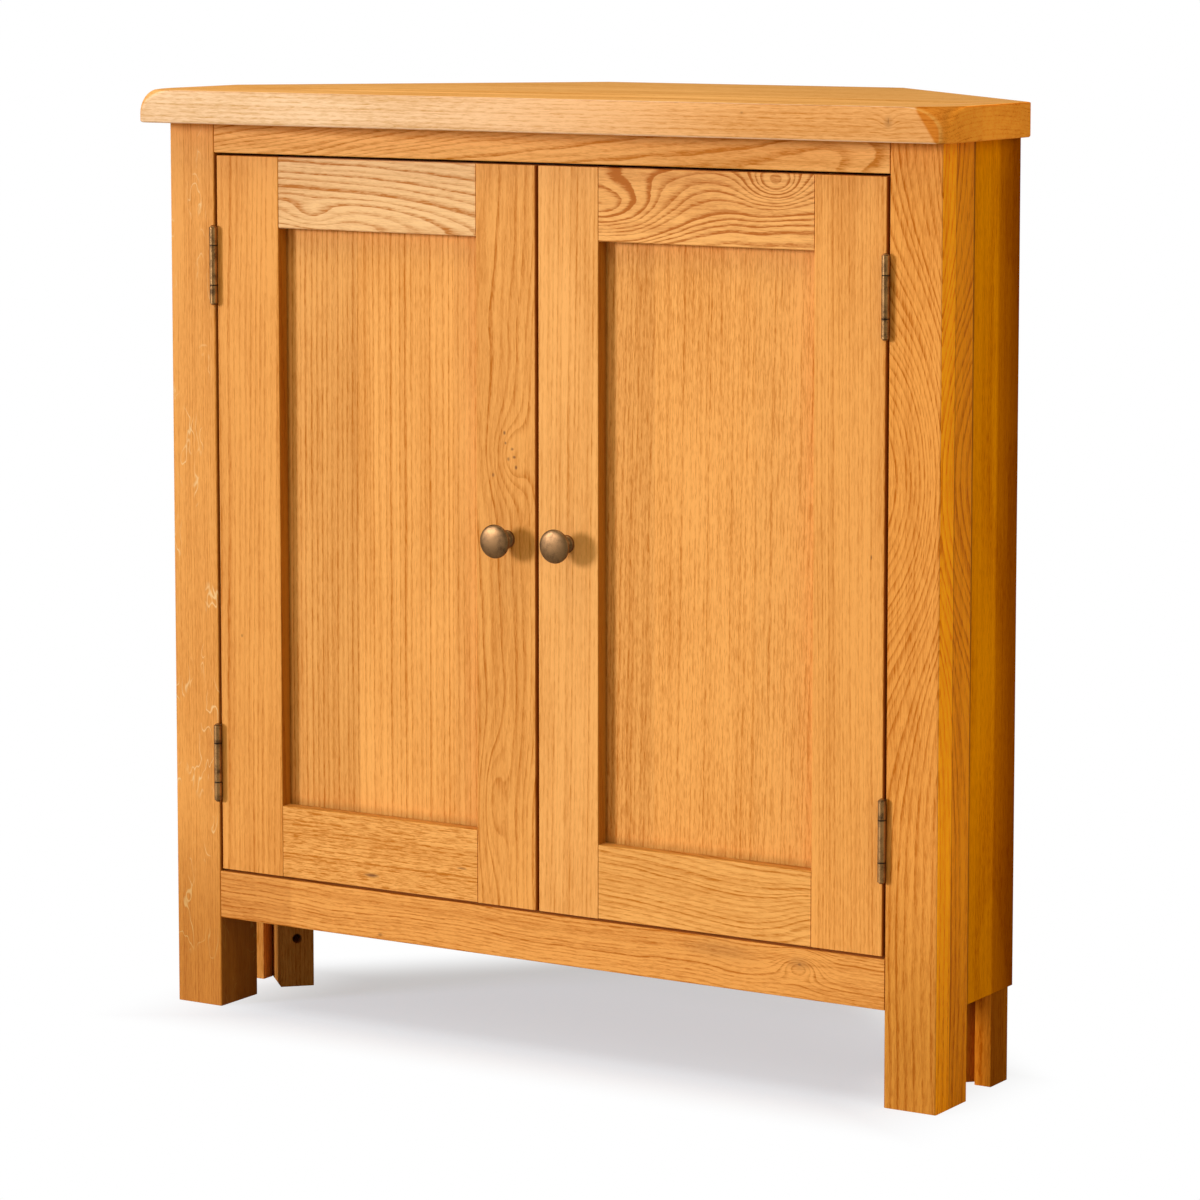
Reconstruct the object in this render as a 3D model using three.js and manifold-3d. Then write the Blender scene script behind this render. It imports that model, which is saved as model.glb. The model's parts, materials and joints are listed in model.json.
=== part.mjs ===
// Corner cupboard in oak: a top board with softened front corners on a six-sided case,
// two framed doors on butt hinges, brass knobs, a floor, one shelf and a double magnetic catch.
// Millimetres, +Z up, front towards -Y, origin on the floor under the middle of the footprint.

import * as THREE from 'three';
import { mergeVertices } from 'three/addons/utils/BufferGeometryUtils.js';
import Module from 'manifold-3d';

const wasm = await Module();
wasm.setup();

// Footprint and height of the case
const HEIGHT = 850;
const FRONT_WIDTH = 796;
const SIDE_DEPTH = 143;
const BACK_WIDTH = 320;

// Clearances
const GLUE_LINE = 0.1;
const SEAT_GAP = 0.3;
const CUT_OVERRUN = 5;

// Top board
const TOP_THICK = 30;
const TOP_FRONT_OVERHANG = 28;
const TOP_SIDE_OVERHANG = 17;
const TOP_EDGE_EASE = 2;
const TOP_CORNER_UNDER_RADIUS = 10;
const TOP_CORNER_UPPER_RADIUS = 52;
const TOP_CORNER_RISE = 22;

// Face frame
const POST_WIDTH = 50;
const POST_DEPTH = 57;
const POST_ARRIS = 1.2;
const FACE_THICK = 24;
const TOP_RAIL_HEIGHT = 27;
const BOTTOM_RAIL_HEIGHT = 44;
const FOOT_HEIGHT = 84;
const RAIL_TENON_LENGTH = 20;
const RAIL_TENON_THICK = 9;
const RAIL_TENON_SHOULDER = 4;

// Doors
const DOOR_GAP = 2.5;
const DOOR_CENTRE_GAP = 3;
const HINGE_STILE_WIDTH = 69;
const MEETING_STILE_WIDTH = 62;
const DOOR_TOP_RAIL_HEIGHT = 64;
const DOOR_BOTTOM_RAIL_HEIGHT = 66;
const DOOR_ARRIS = 0.8;
const DOOR_PANEL_RECESS = 13;
const DOOR_PANEL_THICK = 6;
const DOOR_GROOVE_DEPTH = 9;
const DOOR_PANEL_ENTRY = 8;
const DOOR_TENON_LENGTH = 24;
const DOOR_TENON_SHOULDER = 10;

// Butt hinges
const HINGE_LENGTH = 70;
const HINGE_END_MARGIN = 65;
const HINGE_AXIS_PROUD = 4;
const KNUCKLE_RADIUS = 3.5;
const KNUCKLE_SHARES = [0.24, 0.52, 0.24];
const KNUCKLE_GAP = 0.3;
const PIN_RADIUS = 1.5;
const PIN_CLEARANCE = 0.09;
const PIN_HEAD_RADIUS = 2.6;
const PIN_HEAD_HEIGHT = 1.6;
const LEAF_THICK = 1.1;
const LEAF_WIDTH = 21;
const LEAF_START = 0.6;
const HINGE_HOLE_COUNT = 3;
const HINGE_HOLE_RADIUS = 1.7;
const HINGE_HOLE_MOUTH_RADIUS = 2.7;
const HINGE_HOLE_PITCH = 22;
const HINGE_HOLE_OUTER_SHARE = 0.66;
const HINGE_HOLE_MIDDLE_SHARE = 0.42;
const HINGE_SINK_SHARE = 0.8;

// Knobs
const KNOB_RADIUS = 15;
const KNOB_PROJECTION = 23.5;
const KNOB_RIM_PROJECTION = 20.6;
const KNOB_BASE_RADIUS = 8;
const KNOB_BASE_THICK = 3;
const KNOB_STEM_RADIUS = 4.6;
const KNOB_FROM_CENTRE = 31;
const KNOB_SCREW_RADIUS = 2;
const KNOB_SCREW_HEAD_RADIUS = 4;
const KNOB_SCREW_HEAD_THICK = 2.2;
const KNOB_SCREW_ENTRY = 12;
const KNOB_SCREW_CLEARANCE = 0.3;

// Sides and rear legs
const SIDE_PANEL_THICK = 12;
const SIDE_TONGUE_THICK = 5;
const SIDE_TONGUE_LENGTH = 7;
const SIDE_LEG_THICK = 16;
const SIDE_LEG_FRONT = 109;
const REAR_LEG_WIDTH = 31.7;
const REAR_LEG_DEPTH = 74;
const REAR_LEG_HOLE_RADIUS = 4.5;
const REAR_LEG_HOLE_HEIGHT = 46;
const REAR_LEG_HOLE_DEPTH = 26;
const APEX_LEG_WIDTH = 45;
const APEX_LEG_DEPTH = 37;

// Back panels and the rails that stiffen them
const BACK_SET_IN = 4.5;
const BACK_THICK = 8;
const BACK_GROOVE_DEPTH = 7;
const WALL_RAIL_THICK = 20;
const UPPER_RAIL_HEIGHT = 30;

// Floor, shelf and shelf pegs
const FLOOR_THICK = 16;
const FLOOR_BELOW_RAIL = 1;
const FLOOR_BEARER_HEIGHT = 20;
const FLOOR_BEARER_THICK = 20;
const SHELF_THICK = 16;
const SHELF_UNDERSIDE = 440;
const SHELF_FRONT = 64;
const SHELF_CLEARANCE = 1;
const PEG_RADIUS = 3;
const PEG_ENTRY = 12;
const PEG_REACH = 13;
const PEG_CLEARANCE = 0.2;
const PEG_INWARD = 25;

// Magnetic catch
const CATCH_WIDTH = 66;
const CATCH_DEPTH = 15;
const CATCH_DROP = 22;
const CATCH_RISE = 18;
const CATCH_CORNER = 2;
const CATCH_FLANGE_RISE = 2;
const CATCH_MAGNET_GAP = 0.3;
const STRIKE_WIDTH = 24;
const STRIKE_HEIGHT = 15;
const STRIKE_THICK = 1.2;

// Facet counts
const CORNER_SEGMENTS = 8;
const CORNER_RINGS = 7;
const KNUCKLE_SEGMENTS = 20;
const SCREW_SEGMENTS = 10;
const KNOB_SEGMENTS = 40;
const HOLE_SEGMENTS = 20;

// Derived levels and planes
const LEFT = -1;
const RIGHT = 1;
const DIAGONAL_SHARE = Math.SQRT1_2;
const HALF_FRONT = FRONT_WIDTH / 2;
const HALF_BACK = BACK_WIDTH / 2;
const BODY_DEPTH = SIDE_DEPTH + HALF_FRONT - HALF_BACK;
const Y_FRONT = (TOP_FRONT_OVERHANG - BODY_DEPTH) / 2;
const Y_SIDE = Y_FRONT + SIDE_DEPTH;
const Y_BACK = Y_FRONT + BODY_DEPTH;
const Y_POST_BACK = Y_FRONT + POST_DEPTH;
const WALL_LENGTH = (HALF_FRONT - HALF_BACK) / DIAGONAL_SHARE;
const TOP_UNDERSIDE = HEIGHT - TOP_THICK;
const CASE_TOP = TOP_UNDERSIDE - GLUE_LINE;
const RAIL_TOP = FOOT_HEIGHT + BOTTOM_RAIL_HEIGHT;
const HEAD_RAIL_BOTTOM = TOP_UNDERSIDE - TOP_RAIL_HEIGHT;
const DOOR_BOTTOM = RAIL_TOP + DOOR_GAP;
const DOOR_TOP = HEAD_RAIL_BOTTOM - DOOR_GAP;
const DOOR_MIDDLE = (DOOR_BOTTOM + DOOR_TOP) / 2;
const DOOR_BACK = Y_FRONT + FACE_THICK;
const POST_INNER = HALF_FRONT - POST_WIDTH;
const HINGE_X = POST_INNER - DOOR_GAP / 2;
const HINGE_Y = Y_FRONT - HINGE_AXIS_PROUD;
const HINGE_FROM_END = HINGE_END_MARGIN + HINGE_LENGTH / 2;
const HINGE_LEVELS = [DOOR_TOP - HINGE_FROM_END, DOOR_BOTTOM + HINGE_FROM_END];
const FLOOR_TOP = RAIL_TOP - FLOOR_BELOW_RAIL;
const FLOOR_UNDERSIDE = FLOOR_TOP - FLOOR_THICK;
const BACK_INNER = BACK_SET_IN + BACK_THICK;
const SIDE_LEG_INSET = BACK_SET_IN * DIAGONAL_SHARE;

// Materials, with colours taken from the photograph
function finish(colour, roughness, metalness = 0) {
  return new THREE.MeshStandardMaterial({ color: colour, roughness, metalness });
}

const oakFace = finish(0xdd9c5a, 0.45);
const oakTop = finish(0xe6ab6b, 0.4);
const oakSide = finish(0xb8751f, 0.5);
const oakInner = finish(0xcaa06a, 0.6);
const brass = finish(0xa07c58, 0.35, 0.9);
const hingeMetal = finish(0x7a6044, 0.45, 0.9);
const steel = finish(0x9a9a98, 0.4, 1);
const darkPlastic = finish(0x4a3526, 0.6);

// Solids and meshes
function toSolid(geometry) {
  const bare = geometry.clone();
  bare.deleteAttribute('normal');
  bare.deleteAttribute('uv');
  const merged = mergeVertices(bare);
  const index = merged.index.array;
  const triVerts = [];
  for (let i = 0; i < index.length; i += 3) {
    const [a, b, c] = [index[i], index[i + 1], index[i + 2]];
    if (a !== b && b !== c && c !== a) triVerts.push(a, b, c);
  }
  return new wasm.Manifold(new wasm.Mesh({
    numProp: 3,
    vertProperties: new Float32Array(merged.attributes.position.array),
    triVerts: new Uint32Array(triVerts),
  }));
}

function toGeometry(solid) {
  const mesh = solid.getMesh();
  const geometry = new THREE.BufferGeometry();
  geometry.setAttribute('position', new THREE.BufferAttribute(mesh.vertProperties, 3));
  geometry.setIndex(new THREE.BufferAttribute(mesh.triVerts, 1));
  geometry.computeVertexNormals();
  return geometry;
}

function cut(body, tools) {
  return tools.reduce((rest, tool) => rest.subtract(toSolid(tool)), toSolid(body));
}

function join(bodies) {
  return bodies.map(toSolid).reduce((whole, next) => whole.add(next));
}

const cupboard = new THREE.Group();

function addPiece(name, shape, material) {
  const geometry = shape instanceof THREE.BufferGeometry ? shape : toGeometry(shape);
  const mesh = new THREE.Mesh(geometry, material);
  mesh.name = name;
  cupboard.add(mesh);
}

function sideName(side) {
  return side === LEFT ? 'left' : 'right';
}

// Basic forms: each takes real places, so neighbours share the same values
function block(x0, x1, y0, y1, z0, z1) {
  const box = new THREE.BoxGeometry(Math.abs(x1 - x0), Math.abs(y1 - y0), Math.abs(z1 - z0));
  return box.translate((x0 + x1) / 2, (y0 + y1) / 2, (z0 + z1) / 2);
}

function prism(points, z0, z1) {
  const outline = new THREE.Shape(points.map(([x, y]) => new THREE.Vector2(x, y)));
  const body = new THREE.ExtrudeGeometry(outline, { depth: z1 - z0, bevelEnabled: false });
  return body.translate(0, 0, z0);
}

// A rectangle in plan with its four corners taken off, as [x, y] points
function arrisOutline(x0, x1, y0, y1, arris) {
  const [left, right] = [Math.min(x0, x1), Math.max(x0, x1)];
  return [
    [left + arris, y0], [right - arris, y0], [right, y0 + arris], [right, y1 - arris],
    [right - arris, y1], [left + arris, y1], [left, y1 - arris], [left, y0 + arris],
  ];
}

function uprightBoard(x0, x1, y0, y1, z0, z1, arris) {
  return prism(arrisOutline(x0, x1, y0, y1, arris), z0, z1);
}

// A board that runs along X: its section is drawn in Y and Z, then carried along X
function levelBoard(x0, x1, y0, y1, z0, z1, arris) {
  const run = prism(arrisOutline(y0, y1, z0, z1, arris), Math.min(x0, x1), Math.max(x0, x1));
  return run.applyMatrix4(new THREE.Matrix4().makeBasis(
    new THREE.Vector3(0, 1, 0),
    new THREE.Vector3(0, 0, 1),
    new THREE.Vector3(1, 0, 0),
  ));
}

// A turned form: profile of [radius, distance] pairs carried round an axis from origin along direction
function turned(profile, segments, origin, direction) {
  const points = profile.map(([radius, distance]) => new THREE.Vector2(radius, distance));
  const body = new THREE.LatheGeometry(points, segments);
  const turn = new THREE.Quaternion().setFromUnitVectors(
    new THREE.Vector3(0, 1, 0),
    new THREE.Vector3(...direction).normalize(),
  );
  return body.applyQuaternion(turn).translate(...origin);
}

function rod(radius, start, end, segments, origin, direction) {
  return turned([[0, start], [radius, start], [radius, end], [0, end]], segments, origin, direction);
}

// The room's wall in plan: along runs from the side's rear corner to the back, inward leaves the wall
function wallPoint(side, along, inward) {
  return [
    side * (HALF_FRONT - (along + inward) * DIAGONAL_SHARE),
    Y_SIDE + (along - inward) * DIAGONAL_SHARE,
  ];
}

function wallDirection(side) {
  return [-side * DIAGONAL_SHARE, DIAGONAL_SHARE, 0];
}

function wallRectangle(side, along0, along1, inward0, inward1) {
  return [
    wallPoint(side, along0, inward0),
    wallPoint(side, along1, inward0),
    wallPoint(side, along1, inward1),
    wallPoint(side, along0, inward1),
  ];
}

// Outlines that more than one piece follows, each grown by a clearance where it is used as a cut
function postOutline(side, grow) {
  return arrisOutline(
    side * (HALF_FRONT + grow), side * (POST_INNER - grow),
    Y_FRONT - grow, Y_POST_BACK + grow, POST_ARRIS,
  );
}

function rearLegOutline(side, grow) {
  return wallRectangle(side, -grow, REAR_LEG_WIDTH + grow, BACK_SET_IN - grow, REAR_LEG_DEPTH + grow);
}

function sideLegOutline(side, outerInset, grow) {
  const outer = outerInset - grow;
  const inner = SIDE_LEG_INSET + SIDE_LEG_THICK + grow;
  const mitre = grow > 0 ? grow : SEAT_GAP * -1;
  const mitreY = (inset) => Y_SIDE - inset + mitre / DIAGONAL_SHARE;
  return [
    [side * (HALF_FRONT - outer), Y_FRONT + SIDE_LEG_FRONT - grow],
    [side * (HALF_FRONT - inner), Y_FRONT + SIDE_LEG_FRONT - grow],
    [side * (HALF_FRONT - inner), mitreY(inner)],
    [side * (HALF_FRONT - outer), mitreY(outer)],
  ];
}

function apexLegOutline(side, grow) {
  const start = WALL_LENGTH - APEX_LEG_WIDTH - grow;
  const inner = HALF_BACK - APEX_LEG_WIDTH - grow;
  const depth = APEX_LEG_DEPTH + grow;
  return [
    wallPoint(side, start, -grow),
    [side * HALF_BACK, Y_BACK + grow],
    [side * inner, Y_BACK + grow],
    [side * inner, Y_BACK - depth],
    wallPoint(side, start, depth),
  ];
}

// The six-sided outline inside the case, from a front line to the inner faces of the back panels
function caseOutline(frontY, sideInset, wallInset) {
  const halfWidth = HALF_FRONT - sideInset;
  const wallSum = HALF_FRONT + Y_SIDE - wallInset / DIAGONAL_SHARE;
  const backY = Y_BACK - wallInset;
  const corner = (side) => [
    [side * halfWidth, frontY],
    [side * halfWidth, wallSum - halfWidth],
    [side * (wallSum - backY), backY],
  ];
  return [...corner(RIGHT), ...corner(LEFT).reverse()];
}

// Top board: rings of one outline whose front corners round over more and more towards the top
function topRing(z, inset, radius) {
  const halfWidth = HALF_FRONT + TOP_SIDE_OVERHANG - inset;
  const frontY = Y_FRONT - TOP_FRONT_OVERHANG + inset;
  const wallSum = HALF_FRONT + Y_SIDE - inset / DIAGONAL_SHARE;
  const backY = Y_BACK - inset;
  const ring = [];
  for (let i = 0; i <= CORNER_SEGMENTS; i += 1) {
    const angle = (Math.PI / 2) * (i / CORNER_SEGMENTS);
    const x = halfWidth - radius + radius * Math.sin(angle);
    const y = frontY + radius - radius * Math.cos(angle);
    ring.push([x, y, z]);
  }
  ring.push([halfWidth, wallSum - halfWidth, z], [wallSum - backY, backY, z]);
  const mirrored = ring.map(([x, y, height]) => [-x, y, height]).reverse();
  return [...ring, ...mirrored];
}

function loft(rings) {
  const count = rings[0].length;
  const index = [];
  for (let ring = 0; ring < rings.length - 1; ring += 1) {
    for (let i = 0; i < count; i += 1) {
      const next = (i + 1) % count;
      const [a, b] = [ring * count + i, ring * count + next];
      index.push(a, b, b + count, a, b + count, a + count);
    }
  }
  const last = (rings.length - 1) * count;
  for (let i = 1; i < count - 1; i += 1) {
    index.push(0, i + 1, i);
    index.push(last, last + i, last + i + 1);
  }
  const geometry = new THREE.BufferGeometry();
  geometry.setAttribute('position', new THREE.Float32BufferAttribute(rings.flat(2), 3));
  geometry.setIndex(index);
  geometry.computeVertexNormals();
  return geometry;
}

function topBoard() {
  const rings = [
    topRing(TOP_UNDERSIDE, TOP_EDGE_EASE, TOP_CORNER_UNDER_RADIUS),
    topRing(TOP_UNDERSIDE + TOP_EDGE_EASE, 0, TOP_CORNER_UNDER_RADIUS),
  ];
  const growth = TOP_CORNER_UPPER_RADIUS - TOP_CORNER_UNDER_RADIUS;
  for (let i = 1; i <= CORNER_RINGS; i += 1) {
    const angle = (Math.PI / 2) * (i / CORNER_RINGS);
    const rise = TOP_CORNER_RISE * Math.sin(angle);
    const radius = TOP_CORNER_UNDER_RADIUS + growth * (1 - Math.cos(angle));
    const z = HEIGHT - TOP_CORNER_RISE + rise;
    const inset = Math.max(0, TOP_EDGE_EASE - (HEIGHT - z));
    rings.push(topRing(z, inset, radius));
  }
  return loft(rings);
}

function buildTop() {
  addPiece('top_board', topBoard(), oakTop);
}

// Places of a leaf's screw holes: into is 1 for the post's leaf and -1 for the door's leaf
function hingeFaceX(side, into) {
  return side * (HINGE_X + into * (DOOR_GAP / 2 - LEAF_THICK));
}

function leafHoles(side, into, level) {
  const holes = [];
  for (let i = 0; i < HINGE_HOLE_COUNT; i += 1) {
    const step = i - (HINGE_HOLE_COUNT - 1) / 2;
    const widthShare = i % 2 === 0 ? HINGE_HOLE_OUTER_SHARE : HINGE_HOLE_MIDDLE_SHARE;
    const y = Y_FRONT + LEAF_START + (LEAF_WIDTH - LEAF_START) * widthShare;
    const origin = [hingeFaceX(side, into), y, level + step * HINGE_HOLE_PITCH];
    holes.push(turned([
      [0, -CUT_OVERRUN], [HINGE_HOLE_MOUTH_RADIUS, -CUT_OVERRUN], [HINGE_HOLE_MOUTH_RADIUS, 0],
      [HINGE_HOLE_RADIUS, LEAF_THICK * HINGE_SINK_SHARE], [HINGE_HOLE_RADIUS, CUT_OVERRUN], [0, CUT_OVERRUN],
    ], SCREW_SEGMENTS, origin, [side * into, 0, 0]));
  }
  return holes;
}

// Butt hinge: a flat leaf whose knuckles alternate with those of the other leaf round one pin
function knuckleSpan(level, i) {
  const below = KNUCKLE_SHARES.slice(0, i).reduce((sum, share) => sum + share, 0);
  const bottom = level - HINGE_LENGTH / 2 + HINGE_LENGTH * below;
  const length = HINGE_LENGTH * KNUCKLE_SHARES[i];
  return [bottom + KNUCKLE_GAP / 2, bottom + length - KNUCKLE_GAP / 2];
}

function hingeLeaf(side, into, level) {
  const wood = side * (HINGE_X + into * (DOOR_GAP / 2 - GLUE_LINE));
  const face = hingeFaceX(side, into);
  const [bottom, top] = [level - HINGE_LENGTH / 2, level + HINGE_LENGTH / 2];
  const bodies = [block(wood, face, Y_FRONT + LEAF_START, Y_FRONT + LEAF_WIDTH, bottom, top)];
  const first = into === 1 ? 0 : 1;
  for (let i = first; i < KNUCKLE_SHARES.length; i += 2) {
    const [z0, z1] = knuckleSpan(level, i);
    bodies.push(rod(KNUCKLE_RADIUS, z0, z1, KNUCKLE_SEGMENTS, [side * HINGE_X, HINGE_Y, 0], [0, 0, 1]));
    bodies.push(block(wood, face, HINGE_Y, Y_FRONT + LEAF_START + LEAF_THICK, z0, z1));
  }
  const bore = rod(
    PIN_RADIUS + PIN_CLEARANCE, bottom - CUT_OVERRUN, top + CUT_OVERRUN,
    KNUCKLE_SEGMENTS, [side * HINGE_X, HINGE_Y, 0], [0, 0, 1],
  );
  return [bore, ...leafHoles(side, into, level)]
    .reduce((rest, tool) => rest.subtract(toSolid(tool)), join(bodies));
}

function hingePin(side, level) {
  const [bottom, top] = [level - HINGE_LENGTH / 2, level + HINGE_LENGTH / 2];
  const head = PIN_HEAD_RADIUS;
  const seat = KNUCKLE_GAP / 2;
  const profile = [
    [0, bottom - seat - PIN_HEAD_HEIGHT], [head * 0.6, bottom - seat - PIN_HEAD_HEIGHT * 0.8],
    [head, bottom - seat - PIN_HEAD_HEIGHT * 0.3], [head, bottom - seat],
    [PIN_RADIUS, bottom - seat], [PIN_RADIUS, top + seat],
    [head, top + seat], [head, top + seat + PIN_HEAD_HEIGHT * 0.3],
    [head * 0.6, top + seat + PIN_HEAD_HEIGHT * 0.8], [0, top + seat + PIN_HEAD_HEIGHT],
  ];
  return turned(profile, KNUCKLE_SEGMENTS, [side * HINGE_X, HINGE_Y, 0], [0, 0, 1]);
}

function buildHinges() {
  for (const side of [LEFT, RIGHT]) {
    HINGE_LEVELS.forEach((level, i) => {
      const name = `hinge_${i === 0 ? 'upper' : 'lower'}_${sideName(side)}`;
      addPiece(`${name}_post_leaf`, hingeLeaf(side, 1, level), hingeMetal);
      addPiece(`${name}_door_leaf`, hingeLeaf(side, -1, level), hingeMetal);
      addPiece(`${name}_pin`, hingePin(side, level), hingeMetal);
    });
  }
}

// Face frame: posts with mortises for the rails and a groove for the side panel's tongue
function railTenon(side, z0, z1, grow) {
  const middle = Y_FRONT + FACE_THICK / 2;
  const half = RAIL_TENON_THICK / 2 + grow;
  return block(
    side * (POST_INNER - CUT_OVERRUN), side * (POST_INNER + RAIL_TENON_LENGTH + grow),
    middle - half, middle + half,
    z0 + RAIL_TENON_SHOULDER - grow, z1 - RAIL_TENON_SHOULDER + grow,
  );
}

function sideTongue(side, grow) {
  const middle = HALF_FRONT - SIDE_PANEL_THICK / 2;
  const half = SIDE_TONGUE_THICK / 2 + grow;
  return block(
    side * (middle - half), side * (middle + half),
    Y_POST_BACK - SIDE_TONGUE_LENGTH - grow, Y_POST_BACK + CUT_OVERRUN,
    FOOT_HEIGHT, CASE_TOP + (grow > 0 ? CUT_OVERRUN : 0),
  );
}

function frontPost(side) {
  return cut(prism(postOutline(side, 0), 0, CASE_TOP), [
    railTenon(side, FOOT_HEIGHT, RAIL_TOP, SEAT_GAP),
    railTenon(side, HEAD_RAIL_BOTTOM, CASE_TOP, SEAT_GAP),
    sideTongue(side, SEAT_GAP),
  ]);
}

function faceRail(z0, z1) {
  const half = POST_INNER - GLUE_LINE;
  const board = levelBoard(-half, half, Y_FRONT, DOOR_BACK, z0, z1, DOOR_ARRIS);
  return join([board, railTenon(LEFT, z0, z1, 0), railTenon(RIGHT, z0, z1, 0)]);
}

function buildFaceFrame() {
  for (const side of [LEFT, RIGHT]) {
    addPiece(`front_post_${sideName(side)}`, frontPost(side), oakFace);
  }
  addPiece('front_top_rail', faceRail(HEAD_RAIL_BOTTOM, CASE_TOP), oakFace);
  addPiece('front_bottom_rail', faceRail(FOOT_HEIGHT, RAIL_TOP), oakFace);
}

// Side: a thin panel mitred against the rear leg, and a narrow leg rebated behind it
function sidePanel(side) {
  const inner = HALF_FRONT - SIDE_PANEL_THICK;
  const mitre = SEAT_GAP / DIAGONAL_SHARE;
  const board = prism([
    [side * (HALF_FRONT - POST_ARRIS), Y_POST_BACK + GLUE_LINE],
    [side * inner, Y_POST_BACK + GLUE_LINE],
    [side * inner, Y_SIDE - SIDE_PANEL_THICK - mitre],
    [side * HALF_FRONT, Y_SIDE - mitre],
    [side * HALF_FRONT, Y_POST_BACK + GLUE_LINE + POST_ARRIS],
  ], FOOT_HEIGHT, CASE_TOP);
  return join([board, sideTongue(side, 0)]);
}

function sideLeg(side) {
  const full = prism(sideLegOutline(side, SIDE_LEG_INSET, 0), 0, CASE_TOP);
  const rebate = block(
    side * (HALF_FRONT + CUT_OVERRUN), side * (HALF_FRONT - SIDE_PANEL_THICK - SEAT_GAP),
    Y_POST_BACK, Y_SIDE + CUT_OVERRUN,
    FOOT_HEIGHT - SEAT_GAP, CASE_TOP + CUT_OVERRUN,
  );
  return cut(full, [rebate]);
}

// Shelf pegs stand in the facing edges of the rear and apex legs
function pegPlaces(side) {
  const along = wallDirection(side);
  const back = along.map((value) => -value);
  const z = SHELF_UNDERSIDE - GLUE_LINE - PEG_RADIUS;
  return [
    { at: [...wallPoint(side, REAR_LEG_WIDTH, REAR_LEG_DEPTH - PEG_INWARD), z], direction: along },
    { at: [...wallPoint(side, WALL_LENGTH - APEX_LEG_WIDTH, PEG_INWARD), z], direction: back },
  ];
}

function peg({ at, direction }, grow) {
  const reach = grow > 0 ? CUT_OVERRUN : PEG_REACH;
  return rod(PEG_RADIUS + grow, -PEG_ENTRY - grow, reach, SCREW_SEGMENTS, at, direction);
}

function backGroove(side, along0, along1) {
  return prism(
    wallRectangle(side, along0, along1, BACK_SET_IN - SEAT_GAP, BACK_INNER + SEAT_GAP),
    FOOT_HEIGHT - SEAT_GAP, CASE_TOP + CUT_OVERRUN,
  );
}

// Rear leg: set in from the room's wall as far as the back panel, so the panel's groove is open behind
function rearLeg(side) {
  const hole = rod(
    REAR_LEG_HOLE_RADIUS, -CUT_OVERRUN, REAR_LEG_HOLE_DEPTH, HOLE_SEGMENTS,
    [...wallPoint(side, REAR_LEG_WIDTH / 2, REAR_LEG_DEPTH), REAR_LEG_HOLE_HEIGHT],
    [side * DIAGONAL_SHARE, DIAGONAL_SHARE, 0],
  );
  return cut(prism(rearLegOutline(side, 0), 0, CASE_TOP), [
    hole,
    backGroove(side, REAR_LEG_WIDTH - BACK_GROOVE_DEPTH, REAR_LEG_WIDTH + CUT_OVERRUN),
    peg(pegPlaces(side)[0], PEG_CLEARANCE),
  ]);
}

function apexLeg(side) {
  const start = WALL_LENGTH - APEX_LEG_WIDTH;
  const inner = HALF_BACK - APEX_LEG_WIDTH;
  const centreGroove = block(
    side * (inner - CUT_OVERRUN), side * (inner + BACK_GROOVE_DEPTH),
    Y_BACK - BACK_INNER - SEAT_GAP, Y_BACK - BACK_SET_IN + SEAT_GAP,
    FOOT_HEIGHT - SEAT_GAP, CASE_TOP + CUT_OVERRUN,
  );
  return cut(prism(apexLegOutline(side, 0), 0, CASE_TOP), [
    backGroove(side, start - CUT_OVERRUN, start + BACK_GROOVE_DEPTH),
    centreGroove,
    peg(pegPlaces(side)[1], PEG_CLEARANCE),
  ]);
}

function buildSidesAndLegs() {
  for (const side of [LEFT, RIGHT]) {
    addPiece(`side_panel_${sideName(side)}`, sidePanel(side), oakSide);
    addPiece(`side_rear_leg_${sideName(side)}`, sideLeg(side), oakSide);
    addPiece(`rear_leg_${sideName(side)}`, rearLeg(side), oakSide);
    addPiece(`apex_leg_${sideName(side)}`, apexLeg(side), oakInner);
  }
}

// Back: panels in grooves, with a lower and an upper rail inside each one
function wallRail(side, z0, z1) {
  const outline = wallRectangle(
    side, REAR_LEG_WIDTH + SEAT_GAP, WALL_LENGTH - APEX_LEG_WIDTH - SEAT_GAP,
    BACK_INNER + SEAT_GAP, BACK_INNER + SEAT_GAP + WALL_RAIL_THICK,
  );
  return prism(outline, z0, z1);
}

function centreRail(z0, z1) {
  const half = HALF_BACK - APEX_LEG_WIDTH - SEAT_GAP;
  const outer = Y_BACK - BACK_INNER - SEAT_GAP;
  return block(-half, half, outer - WALL_RAIL_THICK, outer, z0, z1);
}

function buildBack() {
  const entry = BACK_GROOVE_DEPTH - SEAT_GAP;
  const floorSeat = FLOOR_UNDERSIDE - GLUE_LINE;
  const upperRailBottom = CASE_TOP - UPPER_RAIL_HEIGHT;
  for (const side of [LEFT, RIGHT]) {
    const name = sideName(side);
    addPiece(`back_panel_${name}`, prism(wallRectangle(
      side, REAR_LEG_WIDTH - entry, WALL_LENGTH - APEX_LEG_WIDTH + entry, BACK_SET_IN, BACK_INNER,
    ), FOOT_HEIGHT, CASE_TOP), oakInner);
    addPiece(`lower_rail_${name}`, wallRail(side, FOOT_HEIGHT, floorSeat), oakInner);
    addPiece(`upper_rail_${name}`, wallRail(side, upperRailBottom, CASE_TOP), oakInner);
  }
  const half = HALF_BACK - APEX_LEG_WIDTH + entry;
  addPiece('back_panel_centre', block(
    -half, half, Y_BACK - BACK_INNER, Y_BACK - BACK_SET_IN, FOOT_HEIGHT, CASE_TOP,
  ), oakInner);
  addPiece('lower_rail_centre', centreRail(FOOT_HEIGHT, floorSeat), oakInner);
  addPiece('upper_rail_centre', centreRail(upperRailBottom, CASE_TOP), oakInner);
}

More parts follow.
